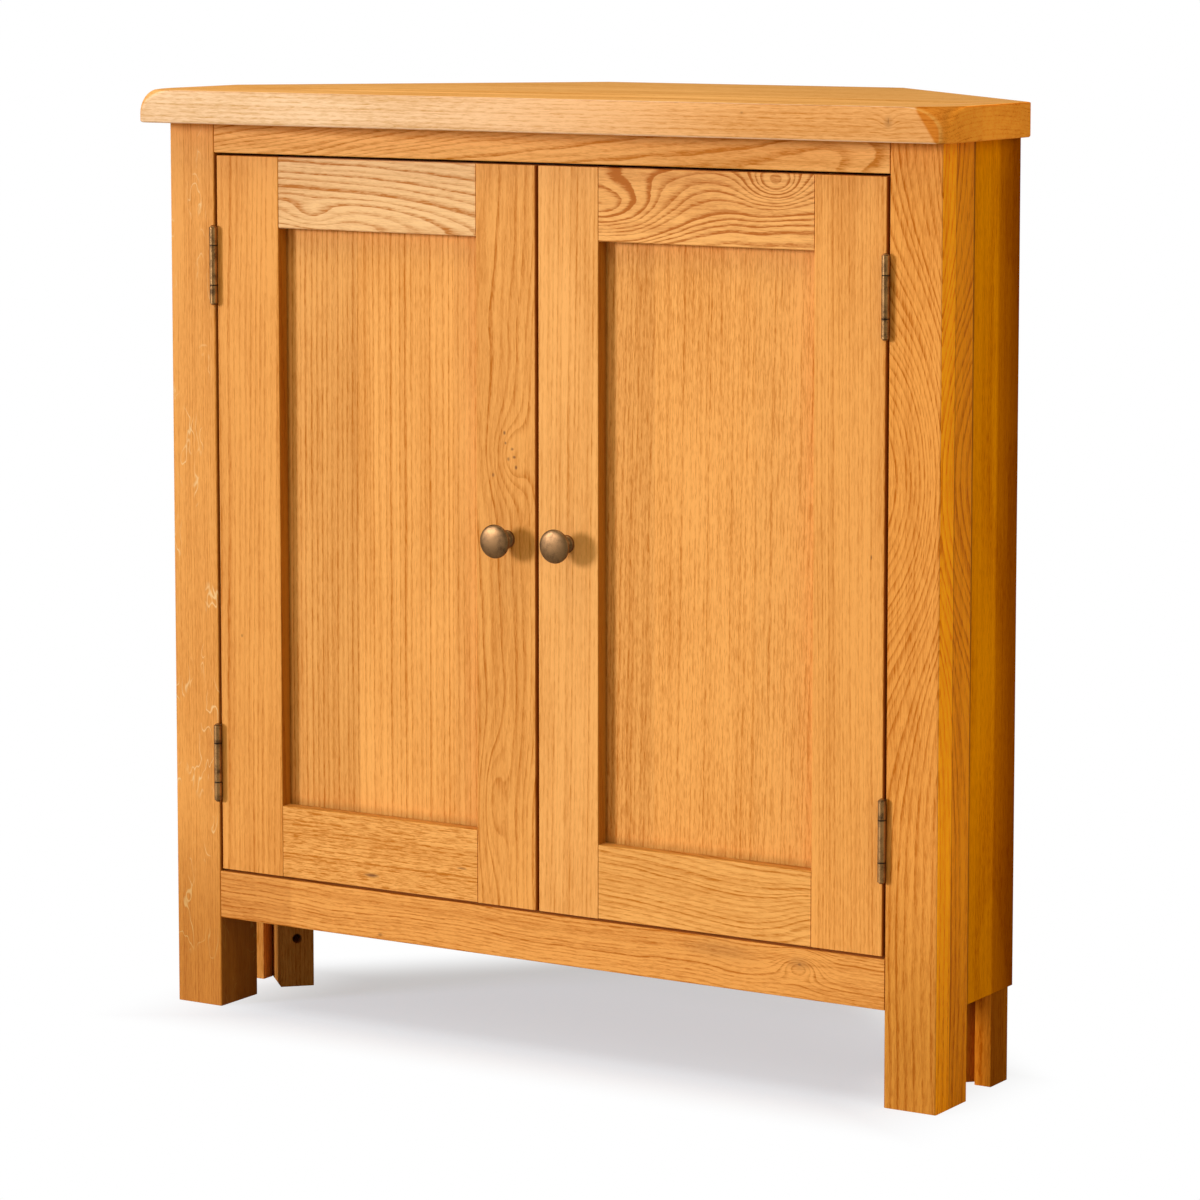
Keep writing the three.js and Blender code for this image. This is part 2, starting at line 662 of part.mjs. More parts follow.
// Floor and shelf: six-sided boards notched round the posts and legs
function legCuts(grow, z0, z1) {
  return [LEFT, RIGHT].flatMap((side) => [
    prism(postOutline(side, grow), z0, z1),
    prism(sideLegOutline(side, SIDE_PANEL_THICK, grow), z0, z1),
    prism(rearLegOutline(side, grow), z0, z1),
    prism(apexLegOutline(side, grow), z0, z1),
  ]);
}

function notchedBoard(frontY, clearance, z0, z1) {
  const outline = caseOutline(frontY, SIDE_PANEL_THICK + clearance, BACK_INNER + clearance);
  return cut(prism(outline, z0, z1), legCuts(clearance, z0 - CUT_OVERRUN, z1 + CUT_OVERRUN));
}

function buildInside() {
  const bearerTop = FLOOR_UNDERSIDE - GLUE_LINE;
  const bearerHalf = POST_INNER - GLUE_LINE;
  addPiece('floor_board', notchedBoard(DOOR_BACK + GLUE_LINE, SEAT_GAP, FLOOR_UNDERSIDE, FLOOR_TOP), oakInner);
  addPiece('floor_bearer_front', block(
    -bearerHalf, bearerHalf, DOOR_BACK + GLUE_LINE, DOOR_BACK + GLUE_LINE + FLOOR_BEARER_THICK,
    bearerTop - FLOOR_BEARER_HEIGHT, bearerTop,
  ), oakInner);
  addPiece('shelf', notchedBoard(
    Y_FRONT + SHELF_FRONT, SHELF_CLEARANCE, SHELF_UNDERSIDE, SHELF_UNDERSIDE + SHELF_THICK,
  ), oakInner);
  for (const side of [LEFT, RIGHT]) {
    const [front, rear] = pegPlaces(side);
    addPiece(`shelf_peg_front_${sideName(side)}`, peg(front, 0), steel);
    addPiece(`shelf_peg_rear_${sideName(side)}`, peg(rear, 0), steel);
  }
}

// Doors: grooved stiles and rails with mortises and tenons round a flat panel
const panelFront = Y_FRONT + DOOR_PANEL_RECESS;
const panelBack = panelFront + DOOR_PANEL_THICK;
const railLevels = [
  [DOOR_BOTTOM, DOOR_BOTTOM + DOOR_BOTTOM_RAIL_HEIGHT],
  [DOOR_TOP - DOOR_TOP_RAIL_HEIGHT, DOOR_TOP],
];

function doorEdges(side) {
  const hingeEdge = side * (POST_INNER - DOOR_GAP);
  const meetingEdge = side * (DOOR_CENTRE_GAP / 2);
  return {
    hingeEdge,
    meetingEdge,
    hingeShoulder: hingeEdge - side * HINGE_STILE_WIDTH,
    meetingShoulder: meetingEdge + side * MEETING_STILE_WIDTH,
  };
}

// A tenon that leaves a shoulder at x and runs in the direction given, or its mortise when grown
function doorTenon(shoulder, direction, [z0, z1], grow) {
  return block(
    shoulder - direction * CUT_OVERRUN, shoulder + direction * (DOOR_TENON_LENGTH + grow),
    panelFront - grow, panelBack + grow,
    z0 + DOOR_TENON_SHOULDER - grow, z1 - DOOR_TENON_SHOULDER + grow,
  );
}

function knobBore(side, radius, start, end) {
  return rod(radius, start, end, SCREW_SEGMENTS, [side * KNOB_FROM_CENTRE, Y_FRONT, DOOR_MIDDLE], [0, 1, 0]);
}

function doorStile(edge, shoulder, extraCuts) {
  const inward = Math.sign(shoulder - edge);
  const groove = block(
    shoulder - inward * DOOR_GROOVE_DEPTH, shoulder + inward * CUT_OVERRUN,
    panelFront - SEAT_GAP, panelBack + SEAT_GAP, DOOR_BOTTOM - CUT_OVERRUN, DOOR_TOP + CUT_OVERRUN,
  );
  const board = uprightBoard(edge, shoulder, Y_FRONT, DOOR_BACK, DOOR_BOTTOM, DOOR_TOP, DOOR_ARRIS);
  return cut(board, [
    groove,
    ...railLevels.map((level) => doorTenon(shoulder, -inward, level, SEAT_GAP)),
    ...extraCuts,
  ]);
}

function doorRail(side, edges, level, grooveOnTop) {
  const [z0, z1] = level;
  const towardsHinge = side;
  const start = edges.hingeShoulder - towardsHinge * GLUE_LINE;
  const end = edges.meetingShoulder + towardsHinge * GLUE_LINE;
  const board = levelBoard(start, end, Y_FRONT, DOOR_BACK, z0, z1, DOOR_ARRIS);
  const groove = block(
    start + towardsHinge * CUT_OVERRUN, end - towardsHinge * CUT_OVERRUN,
    panelFront - SEAT_GAP, panelBack + SEAT_GAP,
    grooveOnTop ? z1 - DOOR_GROOVE_DEPTH : z0 - CUT_OVERRUN,
    grooveOnTop ? z1 + CUT_OVERRUN : z0 + DOOR_GROOVE_DEPTH,
  );
  const tenons = [
    doorTenon(edges.hingeShoulder, towardsHinge, level, 0),
    doorTenon(edges.meetingShoulder, -towardsHinge, level, 0),
  ];
  return tenons.reduce((rest, tenon) => rest.add(toSolid(tenon)), cut(board, [groove]));
}

function knob(side) {
  const origin = [side * KNOB_FROM_CENTRE, Y_FRONT - GLUE_LINE, DOOR_MIDDLE];
  const lip = KNOB_RIM_PROJECTION;
  const dome = KNOB_PROJECTION - lip;
  const profile = [
    [0, 0], [KNOB_BASE_RADIUS, 0], [KNOB_BASE_RADIUS, KNOB_BASE_THICK * 0.6],
    [KNOB_BASE_RADIUS * 0.85, KNOB_BASE_THICK], [KNOB_STEM_RADIUS * 1.15, KNOB_BASE_THICK * 1.5],
    [KNOB_STEM_RADIUS, lip * 0.4], [KNOB_STEM_RADIUS * 1.1, lip * 0.55],
    [KNOB_RADIUS * 0.55, lip * 0.72], [KNOB_RADIUS * 0.85, lip * 0.84],
    [KNOB_RADIUS, lip * 0.93], [KNOB_RADIUS, lip],
    [KNOB_RADIUS * 0.95, lip + dome * 0.28], [KNOB_RADIUS * 0.8, lip + dome * 0.6],
    [KNOB_RADIUS * 0.55, lip + dome * 0.84], [KNOB_RADIUS * 0.28, lip + dome * 0.96],
    [0, KNOB_PROJECTION],
  ];
  const body = turned(profile, KNOB_SEGMENTS, origin, [0, -1, 0]);
  const bore = knobBore(side, KNOB_SCREW_RADIUS + PIN_CLEARANCE, -KNOB_SCREW_ENTRY - SEAT_GAP, CUT_OVERRUN);
  return cut(body, [bore]);
}

function knobScrew(side) {
  const seat = FACE_THICK + GLUE_LINE;
  const profile = [
    [0, -KNOB_SCREW_ENTRY], [KNOB_SCREW_RADIUS, -KNOB_SCREW_ENTRY], [KNOB_SCREW_RADIUS, seat],
    [KNOB_SCREW_HEAD_RADIUS, seat], [KNOB_SCREW_HEAD_RADIUS, seat + KNOB_SCREW_HEAD_THICK * 0.5],
    [KNOB_SCREW_HEAD_RADIUS * 0.7, seat + KNOB_SCREW_HEAD_THICK], [0, seat + KNOB_SCREW_HEAD_THICK],
  ];
  return turned(profile, SCREW_SEGMENTS, [side * KNOB_FROM_CENTRE, Y_FRONT, DOOR_MIDDLE], [0, 1, 0]);
}

function buildDoor(side) {
  const name = `${sideName(side)}_door`;
  const edges = doorEdges(side);
  const through = knobBore(side, KNOB_SCREW_RADIUS + KNOB_SCREW_CLEARANCE, -CUT_OVERRUN, FACE_THICK + CUT_OVERRUN);
  addPiece(`${name}_hinge_stile`, doorStile(edges.hingeEdge, edges.hingeShoulder, []), oakFace);
  addPiece(`${name}_meeting_stile`, doorStile(edges.meetingEdge, edges.meetingShoulder, [through]), oakFace);
  addPiece(`${name}_bottom_rail`, doorRail(side, edges, railLevels[0], true), oakFace);
  addPiece(`${name}_top_rail`, doorRail(side, edges, railLevels[1], false), oakFace);
  addPiece(`${name}_panel`, block(
    edges.hingeShoulder + side * DOOR_PANEL_ENTRY, edges.meetingShoulder - side * DOOR_PANEL_ENTRY,
    panelFront, panelBack,
    railLevels[0][1] - DOOR_PANEL_ENTRY, railLevels[1][0] + DOOR_PANEL_ENTRY,
  ), oakFace);
  addPiece(`${name}_knob`, knob(side), brass);
  addPiece(`${name}_knob_screw`, knobScrew(side), steel);
}

// Magnetic catch behind the top rail, and a strike plate on the back of each door
function buildCatch() {
  const plateBack = DOOR_BACK + GLUE_LINE + STRIKE_THICK;
  const half = CATCH_WIDTH / 2;
  const front = plateBack + CATCH_MAGNET_GAP;
  const railBack = DOOR_BACK + GLUE_LINE;
  const flangeBottom = HEAD_RAIL_BOTTOM + CATCH_FLANGE_RISE;
  const housing = levelBoard(
    -half, half, front, front + CATCH_DEPTH,
    HEAD_RAIL_BOTTOM - CATCH_DROP, HEAD_RAIL_BOTTOM + CATCH_RISE, CATCH_CORNER,
  );
  const flange = block(-half, half, railBack, front + CATCH_CORNER, flangeBottom, HEAD_RAIL_BOTTOM + CATCH_RISE - CATCH_CORNER);
  addPiece('door_catch', join([housing, flange]), darkPlastic);
  for (const side of [LEFT, RIGHT]) {
    const centre = side * (half + DOOR_CENTRE_GAP / 2) / 2;
    const top = DOOR_TOP - CATCH_CORNER;
    addPiece(`${sideName(side)}_door_strike_plate`, block(
      centre - STRIKE_WIDTH / 2, centre + STRIKE_WIDTH / 2, railBack, plateBack, top - STRIKE_HEIGHT, top,
    ), steel);
  }
}

buildTop();
buildFaceFrame();
buildSidesAndLegs();
buildBack();
buildInside();
buildDoor(LEFT);
buildDoor(RIGHT);
buildHinges();
buildCatch();

export default cupboard;
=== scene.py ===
"""Corner cupboard in honey oak: finishes, softened boards, brass knobs, butt hinges and a plain studio."""

import json
import math

import bmesh
import bpy
import numpy as np
from mathutils import Matrix, Vector


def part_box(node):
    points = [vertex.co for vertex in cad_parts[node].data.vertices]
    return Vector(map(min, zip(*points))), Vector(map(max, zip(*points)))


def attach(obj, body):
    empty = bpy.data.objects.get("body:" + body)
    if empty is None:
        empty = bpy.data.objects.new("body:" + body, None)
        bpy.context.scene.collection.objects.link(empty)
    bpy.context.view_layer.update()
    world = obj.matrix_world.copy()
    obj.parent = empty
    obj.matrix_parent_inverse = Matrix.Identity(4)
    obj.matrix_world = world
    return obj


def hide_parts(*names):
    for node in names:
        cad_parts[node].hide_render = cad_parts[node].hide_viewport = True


bl_info = {
    "name": "Corner Cupboard",
    "version": (1, 0, 0),
    "blender": (4, 5, 0),
    "location": "View3D > Sidebar > Cupboard",
    "description": "Dresses a corner cupboard in oak and brass and lights it",
    "category": "Object",
}

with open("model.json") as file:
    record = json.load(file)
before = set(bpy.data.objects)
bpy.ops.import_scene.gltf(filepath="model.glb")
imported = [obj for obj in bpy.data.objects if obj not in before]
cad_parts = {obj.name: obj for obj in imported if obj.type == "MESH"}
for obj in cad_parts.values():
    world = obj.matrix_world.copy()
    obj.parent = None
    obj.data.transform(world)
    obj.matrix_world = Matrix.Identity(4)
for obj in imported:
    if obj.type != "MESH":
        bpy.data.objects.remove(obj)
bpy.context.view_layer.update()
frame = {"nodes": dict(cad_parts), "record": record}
MM = 0.001
LEFT, RIGHT = -1, 1
SIDES = {"left": LEFT, "right": RIGHT}
BODIES = frame["record"]["behaviour"]["bodies"]
BODY_OF_NODE = {node: body for body, nodes in BODIES.items() for node in nodes}


# Settings


def colour_setting(name, description, default):
    """A colour for the panel."""
    return bpy.props.FloatVectorProperty(
        name=name, description=description, subtype="COLOR", size=3, default=default,
    )


def number_setting(name, description, default, **limits):
    """A number for the panel."""
    return bpy.props.FloatProperty(name=name, description=description, default=default, **limits)


class CupboardOakSettings(bpy.types.PropertyGroup):
    """Tones and surface of the oak."""

    pale: colour_setting("Pale wood", "Late wood between the pore lines", (0.93, 0.412, 0.08))
    dark: colour_setting("Dark wood", "Pore lines of the early wood", (0.54, 0.158, 0.006))
    fleck: colour_setting("Ray fleck", "Pale flecks on quarter-sawn faces", (0.98, 0.63, 0.24))
    arris: number_setting(
        "Arris", "Width of the softened edge of each board", 0.5 * MM, min=0.0, max=2 * MM, unit="LENGTH",
    )
    grain_depth: number_setting(
        "Grain depth", "Depth of the open grain under the lacquer", 0.1 * MM, min=0.0, max=MM, unit="LENGTH",
    )


class CupboardMetalSettings(bpy.types.PropertyGroup):
    """Tones of the knobs and hinges."""

    brass: colour_setting("Rubbed brass", "Brass where hands have kept it bright", (0.24, 0.122, 0.036))
    patina: colour_setting("Patina", "Aged brass in the hollows", (0.066, 0.029, 0.008))
    hinge: colour_setting("Hinge brass", "Dull golden brass of the hinges", (0.42, 0.215, 0.06))
    knob_segments: bpy.props.IntProperty(
        name="Knob segments", description="Faces round each knob", default=96, min=24, max=256,
    )


class CupboardStudioSettings(bpy.types.PropertyGroup):
    """Light, floor and camera."""

    key: number_setting("Key light", "Strength of the low light from the left", 2.9, min=0.0)
    fill: number_setting("Fill light", "Power of the lamp above the front", 10.0, min=0.0)
    side: number_setting("Side light", "Strength of the faint light from the right", 0.85, min=0.0)
    sky: number_setting("Room light", "Strength of the even light from all sides", 0.33, min=0.0)
    lens: number_setting("Lens", "Focal length on a 36 mm sensor", 135.4, min=10.0)
    shift: number_setting("Vertical shift", "Shift of the frame in widths", -0.14)


# Mesh tools

# Vertices nearer than this are merged
NEAR = 0.01 * MM
FLAT_ANGLE = math.radians(0.5)
ARRIS_ANGLE = math.radians(32)
ARRIS_SEGMENTS = 2


def link(name, data):
    """A new object in the scene, at the origin."""
    made = bpy.data.objects.new(name, data)
    bpy.context.scene.collection.objects.link(made)
    return made


def new_piece(name, vertices, faces, body, slot, material, smooth_angle):
    """A piece from vertices in metres and faces, riding on a body."""
    mesh = bpy.data.meshes.new(name)
    mesh.from_pydata(np.asarray(vertices).tolist(), [], [list(map(int, face)) for face in faces])
    mesh.validate()
    mesh.update()
    return place_mesh(name, mesh, body, material, smooth_angle)


def place_mesh(name, mesh, body, material, smooth_angle=None):
    """Links a finished mesh as a piece with its body and material."""
    mesh.materials.append(material)
    if smooth_angle:
        mesh.shade_smooth()
        mesh.set_sharp_from_angle(angle=math.radians(smooth_angle))
    piece = link(name, mesh)
    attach(piece, body)
    return piece


def grid_faces(rows, columns):
    """Quads of a closed band of rows, whose vertex at row i, column j has the index i * columns + j."""
    i, j = np.meshgrid(np.arange(rows - 1), np.arange(columns), indexing="ij")
    following = (j + 1) % columns
    lower, upper = i * columns, (i + 1) * columns
    return np.stack([lower + j, lower + following, upper + following, upper + j], axis=-1).reshape(-1, 4)


def softened_copy(node, material, width, suffix="board", smooth_angle=None):
    """Stands for the CAD node: its shape with merged corners, joined flat faces and a rounded arris."""
    shape = bmesh.new()
    shape.from_mesh(frame["nodes"][node].data)
    bmesh.ops.remove_doubles(shape, verts=shape.verts, dist=NEAR)
    bmesh.ops.dissolve_limit(shape, angle_limit=FLAT_ANGLE, verts=shape.verts, edges=shape.edges)
    name = f"{node}_{suffix}"
    mesh = bpy.data.meshes.new(name)
    shape.to_mesh(mesh)
    shape.free()
    piece = place_mesh(name, mesh, BODY_OF_NODE[node], material, smooth_angle)
    bevel = piece.modifiers.new("arris", "BEVEL")
    bevel.width = width
    bevel.segments = ARRIS_SEGMENTS
    bevel.limit_method = "ANGLE"
    bevel.angle_limit = ARRIS_ANGLE
    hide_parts(node)


# Node tools


class Net:
    """Adds nodes to a tree; an input may be a value or another node's output."""

    def __init__(self, tree):
        self.tree = tree

    def add(self, kind, values=(), **settings):
        """One node with settings as attributes and values as (input name or index, value) pairs."""
        node = self.tree.nodes.new(kind)
        for key, value in settings.items():
            setattr(node, key, value)
        for key, value in dict(values).items():
            self.feed(node.inputs[key], value)
        return node

    def feed(self, socket, value):
        """Links an output to the socket, or sets its value."""
        if isinstance(value, bpy.types.NodeSocket):
            self.tree.links.new(value, socket)
        elif value is not None:
            socket.default_value = value

    def maths(self, operation, *terms, clamp=False):
        """A Math node's result."""
        return self.add("ShaderNodeMath", enumerate(terms), operation=operation, use_clamp=clamp).outputs[0]

    def vector(self, operation, *terms):
        """A Vector Math node's result."""
        node = self.add("ShaderNodeVectorMath", enumerate(terms), operation=operation)
        return node.outputs[1 if operation in {"LENGTH", "DOT_PRODUCT"} else 0]

    def remap(self, value, low, high, to_low=0.0, to_high=1.0, kind="SMOOTHSTEP"):
        """Value carried from one range to another, held at its ends."""
        return self.add(
            "ShaderNodeMapRange",
            {"Value": value, "From Min": low, "From Max": high, "To Min": to_low, "To Max": to_high},
            interpolation_type=kind,
        ).outputs[0]

    def times(self, first, second):
        """The product of two values."""
        return self.maths("MULTIPLY", first, second)

    def plus(self, first, second):
        """The sum of two values."""
        return self.maths("ADD", first, second)

    def minus(self, first, second):
        """The first value less the second."""
        return self.maths("SUBTRACT", first, second)

    def weigh(self, *pairs):
        """The sum of values, each times its weight."""
        total, *terms = [self.times(value, weight) for value, weight in pairs]
        for term in terms:
            total = self.plus(total, term)
        return total

    def noise(self, place, pace, detail=2.0, roughness=0.5, distortion=0.0, colour=False):
        """A smooth noise between 0 and 1, one value or a colour, with its own pace along each axis."""
        values = {
            "Vector": self.vector("MULTIPLY", place, pace), "Scale": 1.0, "Detail": detail,
            "Roughness": roughness, "Distortion": distortion,
        }
        return self.add("ShaderNodeTexNoise", values).outputs[1 if colour else 0]

    def random(self, number):
        """A random value between 0 and 1 for each number."""
        return self.add("ShaderNodeTexWhiteNoise", {"W": number}, noise_dimensions="1D").outputs[0]

    def place(self):
        """Object coordinates."""
        return self.add("ShaderNodeTexCoord").outputs["Object"]

    def group(self, name, values):
        """A placed node group's outputs; a value of None leaves the input as it is."""
        return self.add("ShaderNodeGroup", node_tree=bpy.data.node_groups[name], values=values).outputs

    def join(self, x, y, z):
        """A vector from three values."""
        return self.add("ShaderNodeCombineXYZ", {"X": x, "Y": y, "Z": z}).outputs[0]

    def split(self, vector):
        """The three values of a vector."""
        return self.add("ShaderNodeSeparateXYZ", {"Vector": vector}).outputs

    def mix(self, factor, first, second, blend="MIX"):
        """Two colours mixed by a factor."""
        values = {0: factor, 6: first, 7: second}
        node = self.add("ShaderNodeMix", values, data_type="RGBA", blend_type=blend, clamp_factor=True)
        return node.outputs[2]


SOCKET_KINDS = {1: "Float", 3: "Vector", 4: "Color"}


def new_group(name, inputs, outputs):
    """An empty shader group; each socket's starting value gives its kind by its length."""
    tree = bpy.data.node_groups.new(name, "ShaderNodeTree")
    for side, values in (("INPUT", inputs), ("OUTPUT", outputs)):
        for label, value in values.items():
            kind = "NodeSocket" + SOCKET_KINDS[np.size(value)]
            tree.interface.new_socket(name=label, in_out=side, socket_type=kind).default_value = value
    net = Net(tree)
    return net, net.add("NodeGroupInput").outputs, net.add("NodeGroupOutput").inputs


def rgba(colour):
    """A colour with full alpha."""
    return (*colour[:3], 1.0)


def new_material(name):
    """A material with its net and its Principled shader."""
    material = bpy.data.materials.new(name)
    material.use_nodes = True
    return material, Net(material.node_tree), material.node_tree.nodes["Principled BSDF"]


def finish_surface(net, shader, colour, roughness, height, depth, strength=0.5):
    """Feeds the shader with a colour, a roughness and a bump whose depth is in metres."""
    bump = net.add("ShaderNodeBump", {"Height": height, "Distance": depth, "Strength": strength})
    net.feed(shader.inputs["Base Color"], colour)
    net.feed(shader.inputs["Roughness"], roughness)
    net.feed(shader.inputs["Normal"], bump.outputs[0])


# Oak

ORIGIN, WHITE = (0, 0, 0), (1, 1, 1, 1)
FINISH_OUTPUTS = {"Color": WHITE, "Roughness": 0.5, "Height": 0.0}
OAK_INPUTS = {
    "Vector": ORIGIN, "Pith": ORIGIN, "Lean": ORIGIN, "Bulge": 0.0, "Knot": 0.0, "Seed": 0.0,
    "Ring Width": 3.0 * MM, "Wave": 4.0 * MM, "Wave Length": 0.25,
    "Ring Strength": 0.6, "Pore Strength": 0.5, "Fleck Strength": 0.0,
    "Strips": ORIGIN, "Strip Start": 0.0, "Strip Tone": 0.0,
    "Pale": WHITE, "Dark": WHITE, "Fleck": WHITE,
}
KNOT_BROWN = (0.17, 0.06, 0.014, 1.0)
# Paces of the noises in the oak, in cycles per metre across, through and along the grain
BENDS = 9.0
RAGGED = (260.0, 260.0, 22.0)
COARSE_PORES, FINE_PORES = (760.0, 760.0, 80.0), (1500.0, 1500.0, 150.0)
FLECK_LINES, FLECK_PATCHES = (95.0, 95.0, 36.0), (46.0, 46.0, 19.0)
STREAKS, CLOUDS = (150.0, 150.0, 2.4), (16.0, 16.0, 5.0)
# Rings, as shares of a ring: how far they wander, and where the dark start is full and has faded
RAGGED_BY, UNEVEN_BY, UNEVEN_PACE = 0.25, 2.2, (0.33, 0.33, 0.33)
RING_FULL, RING_FADED = 0.1, 0.62
PALEST_RING = 0.3
# Each strip is cut from another place in the tree: steps across, and along for its random value
STRIP_STEP, STRIP_SHIFT, SEED_SHIFT = 27.0 * MM, 3.7, 1.37
STREAK_SHARE, CLOUD_SHARE, DARK_FLOOR = 1.05, 0.7, 0.04
SMOOTH_WOOD, OPEN_WOOD = 0.42, 0.58
# How much green goes with each part of blue that a warmer tone takes away
WARM_GREEN = 0.35


def oak_strips(net, given):
    """Boards glued from strips: the strip's number along an axis, and a random value for each."""
    along_axis = net.vector("DOT_PRODUCT", given["Vector"], given["Strips"])
    number = net.maths("FLOOR", net.plus(along_axis, given["Strip Start"]))
    return number, net.random(net.plus(number, given["Seed"]))


def oak_radius(net, given, local, number):
    """Distance to the leaning pith, bent by a slow wave and pushed aside by knots."""
    place, pith, lean = (net.split(given[label]) for label in ("Vector", "Pith", "Lean"))
    pace = net.join(BENDS, BENDS, net.maths("DIVIDE", 1.0, given["Wave Length"]))
    bend = net.split(net.noise(local, pace, 2.0, 0.42, colour=True))
    parts = []
    for axis in (0, 1):
        straight = net.minus(place[axis], pith[axis])
        leaned = net.minus(straight, net.times(lean[axis], place[2]))
        bent = net.times(net.minus(bend[axis], 0.5), given["Wave"])
        parts.append(net.plus(leaned, net.times(bent, 2.0)))
    across = net.plus(parts[0], net.times(number, STRIP_STEP))
    radius = net.vector("LENGTH", net.join(across, parts[1], 0.0))
    return net.plus(radius, given["Bulge"])


def oak_early_wood(net, given, local, radius):
    """Rings of uneven width: a dark start that fades into the late wood, each ring with its own depth."""
    phase = net.maths("DIVIDE", radius, given["Ring Width"])
    phase = net.plus(phase, net.times(net.noise(local, RAGGED), RAGGED_BY))
    uneven = net.noise(net.join(phase, 0.0, given["Seed"]), UNEVEN_PACE, 1.0)
    phase = net.plus(phase, net.times(uneven, UNEVEN_BY))
    ring = net.maths("FLOOR", phase)
    within = net.minus(phase, ring)
    fade = net.remap(within, RING_FULL, RING_FADED, 1.0, 0.0)
    early = net.times(fade, net.remap(within, 0.0, RING_FULL))
    depth = net.random(net.plus(ring, given["Seed"]))
    return net.times(early, net.remap(depth, 0.0, 1.0, PALEST_RING, 1.0, "LINEAR"))


def oak_pores(net, local):
    """Open pores: short dashes along the grain in two sizes, as stretched noise cut off below a level."""
    coarse = net.remap(net.noise(local, COARSE_PORES, 2.0, 0.6), 0.47, 0.6)
    fine = net.remap(net.noise(local, FINE_PORES, 1.0), 0.44, 0.6)
    return net.weigh((coarse, 0.62), (fine, 0.38))


def oak_flecks(net, local):
    """Ray flecks: the thin lines where a patchy, bent noise crosses its middle value."""
    ridge = net.noise(local, FLECK_LINES, 1.0, 0.5, 0.6)
    line = net.remap(net.maths("ABSOLUTE", net.minus(ridge, 0.5)), 0.0, 0.03, 1.0, 0.0)
    patch = net.noise(local, FLECK_PATCHES, 1.0)
    return net.times(line, net.remap(patch, 0.54, 0.66))


def oak_group():
    """Oak worked out as in the tree: rings round a leaning pith, cut by the board's faces.

    The board's own place is across, through and along the grain. Each ring starts with a dark band of
    pores and fades into pale late wood, and pale flecks of the rays cross quarter-sawn faces.
    """
    net, given, result = new_group("oak_figure", OAK_INPUTS, FINISH_OUTPUTS)
    number, value = oak_strips(net, given)
    shift = net.times(value, STRIP_SHIFT)
    across = net.times(given["Seed"], SEED_SHIFT)
    offset = net.join(across, shift, net.plus(shift, given["Seed"]))
    local = net.vector("ADD", given["Vector"], offset)
    early = oak_early_wood(net, given, local, oak_radius(net, given, local, number))
    pore = oak_pores(net, local)
    streak = net.noise(local, STREAKS, 3.0, 0.65)
    cloud = net.noise(local, CLOUDS)

    lines = net.times(early, net.remap(pore, 0.0, 1.0, 0.7, 1.15, "LINEAR"))
    dark = net.weigh(
        (lines, given["Ring Strength"]),
        (pore, given["Pore Strength"]),
        (net.minus(streak, 0.5), STREAK_SHARE),
        (net.minus(cloud, 0.5), CLOUD_SHARE),
    )
    dark = net.maths("ADD", dark, DARK_FLOOR, clamp=True)
    colour = net.mix(dark, given["Pale"], given["Dark"])
    flecks = net.times(oak_flecks(net, local), given["Fleck Strength"])
    colour = net.mix(flecks, colour, given["Fleck"])
    knot = net.times(given["Knot"], net.remap(streak, 0.3, 0.7, 0.55, 1.0))
    colour = net.mix(knot, colour, KNOT_BROWN)
    tone = net.plus(net.times(net.minus(value, 0.5), given["Strip Tone"]), 1.0)
    colour = net.mix(1.0, colour, net.join(tone, tone, tone), "MULTIPLY")

    net.feed(result["Color"], colour)
    net.feed(result["Roughness"], net.remap(dark, 0.0, 1.0, SMOOTH_WOOD, OPEN_WOOD, "LINEAR"))
    net.feed(result["Height"], net.minus(1.0, net.weigh((pore, 0.6), (early, 0.6))))


def knot_group():
    """A knot: a dark core and a bell-shaped push on the rings round it."""
    carried = {"Bulge": 0.0, "Knot": 0.0}
    inputs = {"Vector": ORIGIN, "Place": ORIGIN, "Size": (1, 1, 1), "Push": 0.0, "Dark": 0.0, **carried}
    net, given, result = new_group("oak_knot", inputs, carried)
    away = net.vector("DIVIDE", net.vector("SUBTRACT", given["Vector"], given["Place"]), given["Size"])
    far = net.vector("LENGTH", away)
    bell = net.maths("EXPONENT", net.times(net.times(far, far), -1.0))
    net.feed(result["Bulge"], net.plus(given["Bulge"], net.times(bell, given["Push"])))
    core = net.times(net.remap(far, 0.1, 0.75, 1.0, 0.0), given["Dark"])
    net.feed(result["Knot"], net.maths("MAXIMUM", given["Knot"], core))


def shade_group():
    """Tints a colour more and more between two levels along an axis of the board."""
    inputs = {"Color": WHITE, "Vector": ORIGIN, "Axis": (1, 0, 0), "From": 0.0, "To": 1.0, "Tint": WHITE}
    net, given, result = new_group("board_shade", inputs, {"Color": WHITE})
    reach = net.vector("DOT_PRODUCT", given["Vector"], given["Axis"])
    level = net.remap(reach, given["From"], given["To"])
    tinted = net.mix(1.0, given["Color"], given["Tint"], "MULTIPLY")
    net.feed(result["Color"], net.mix(level, given["Color"], tinted))


# The coordinates that run across, through and along the grain of a board
AXES = {"up": (0, 1, 2), "side": (1, 0, 2), "level": (2, 1, 0), "flat": (1, 2, 0)}


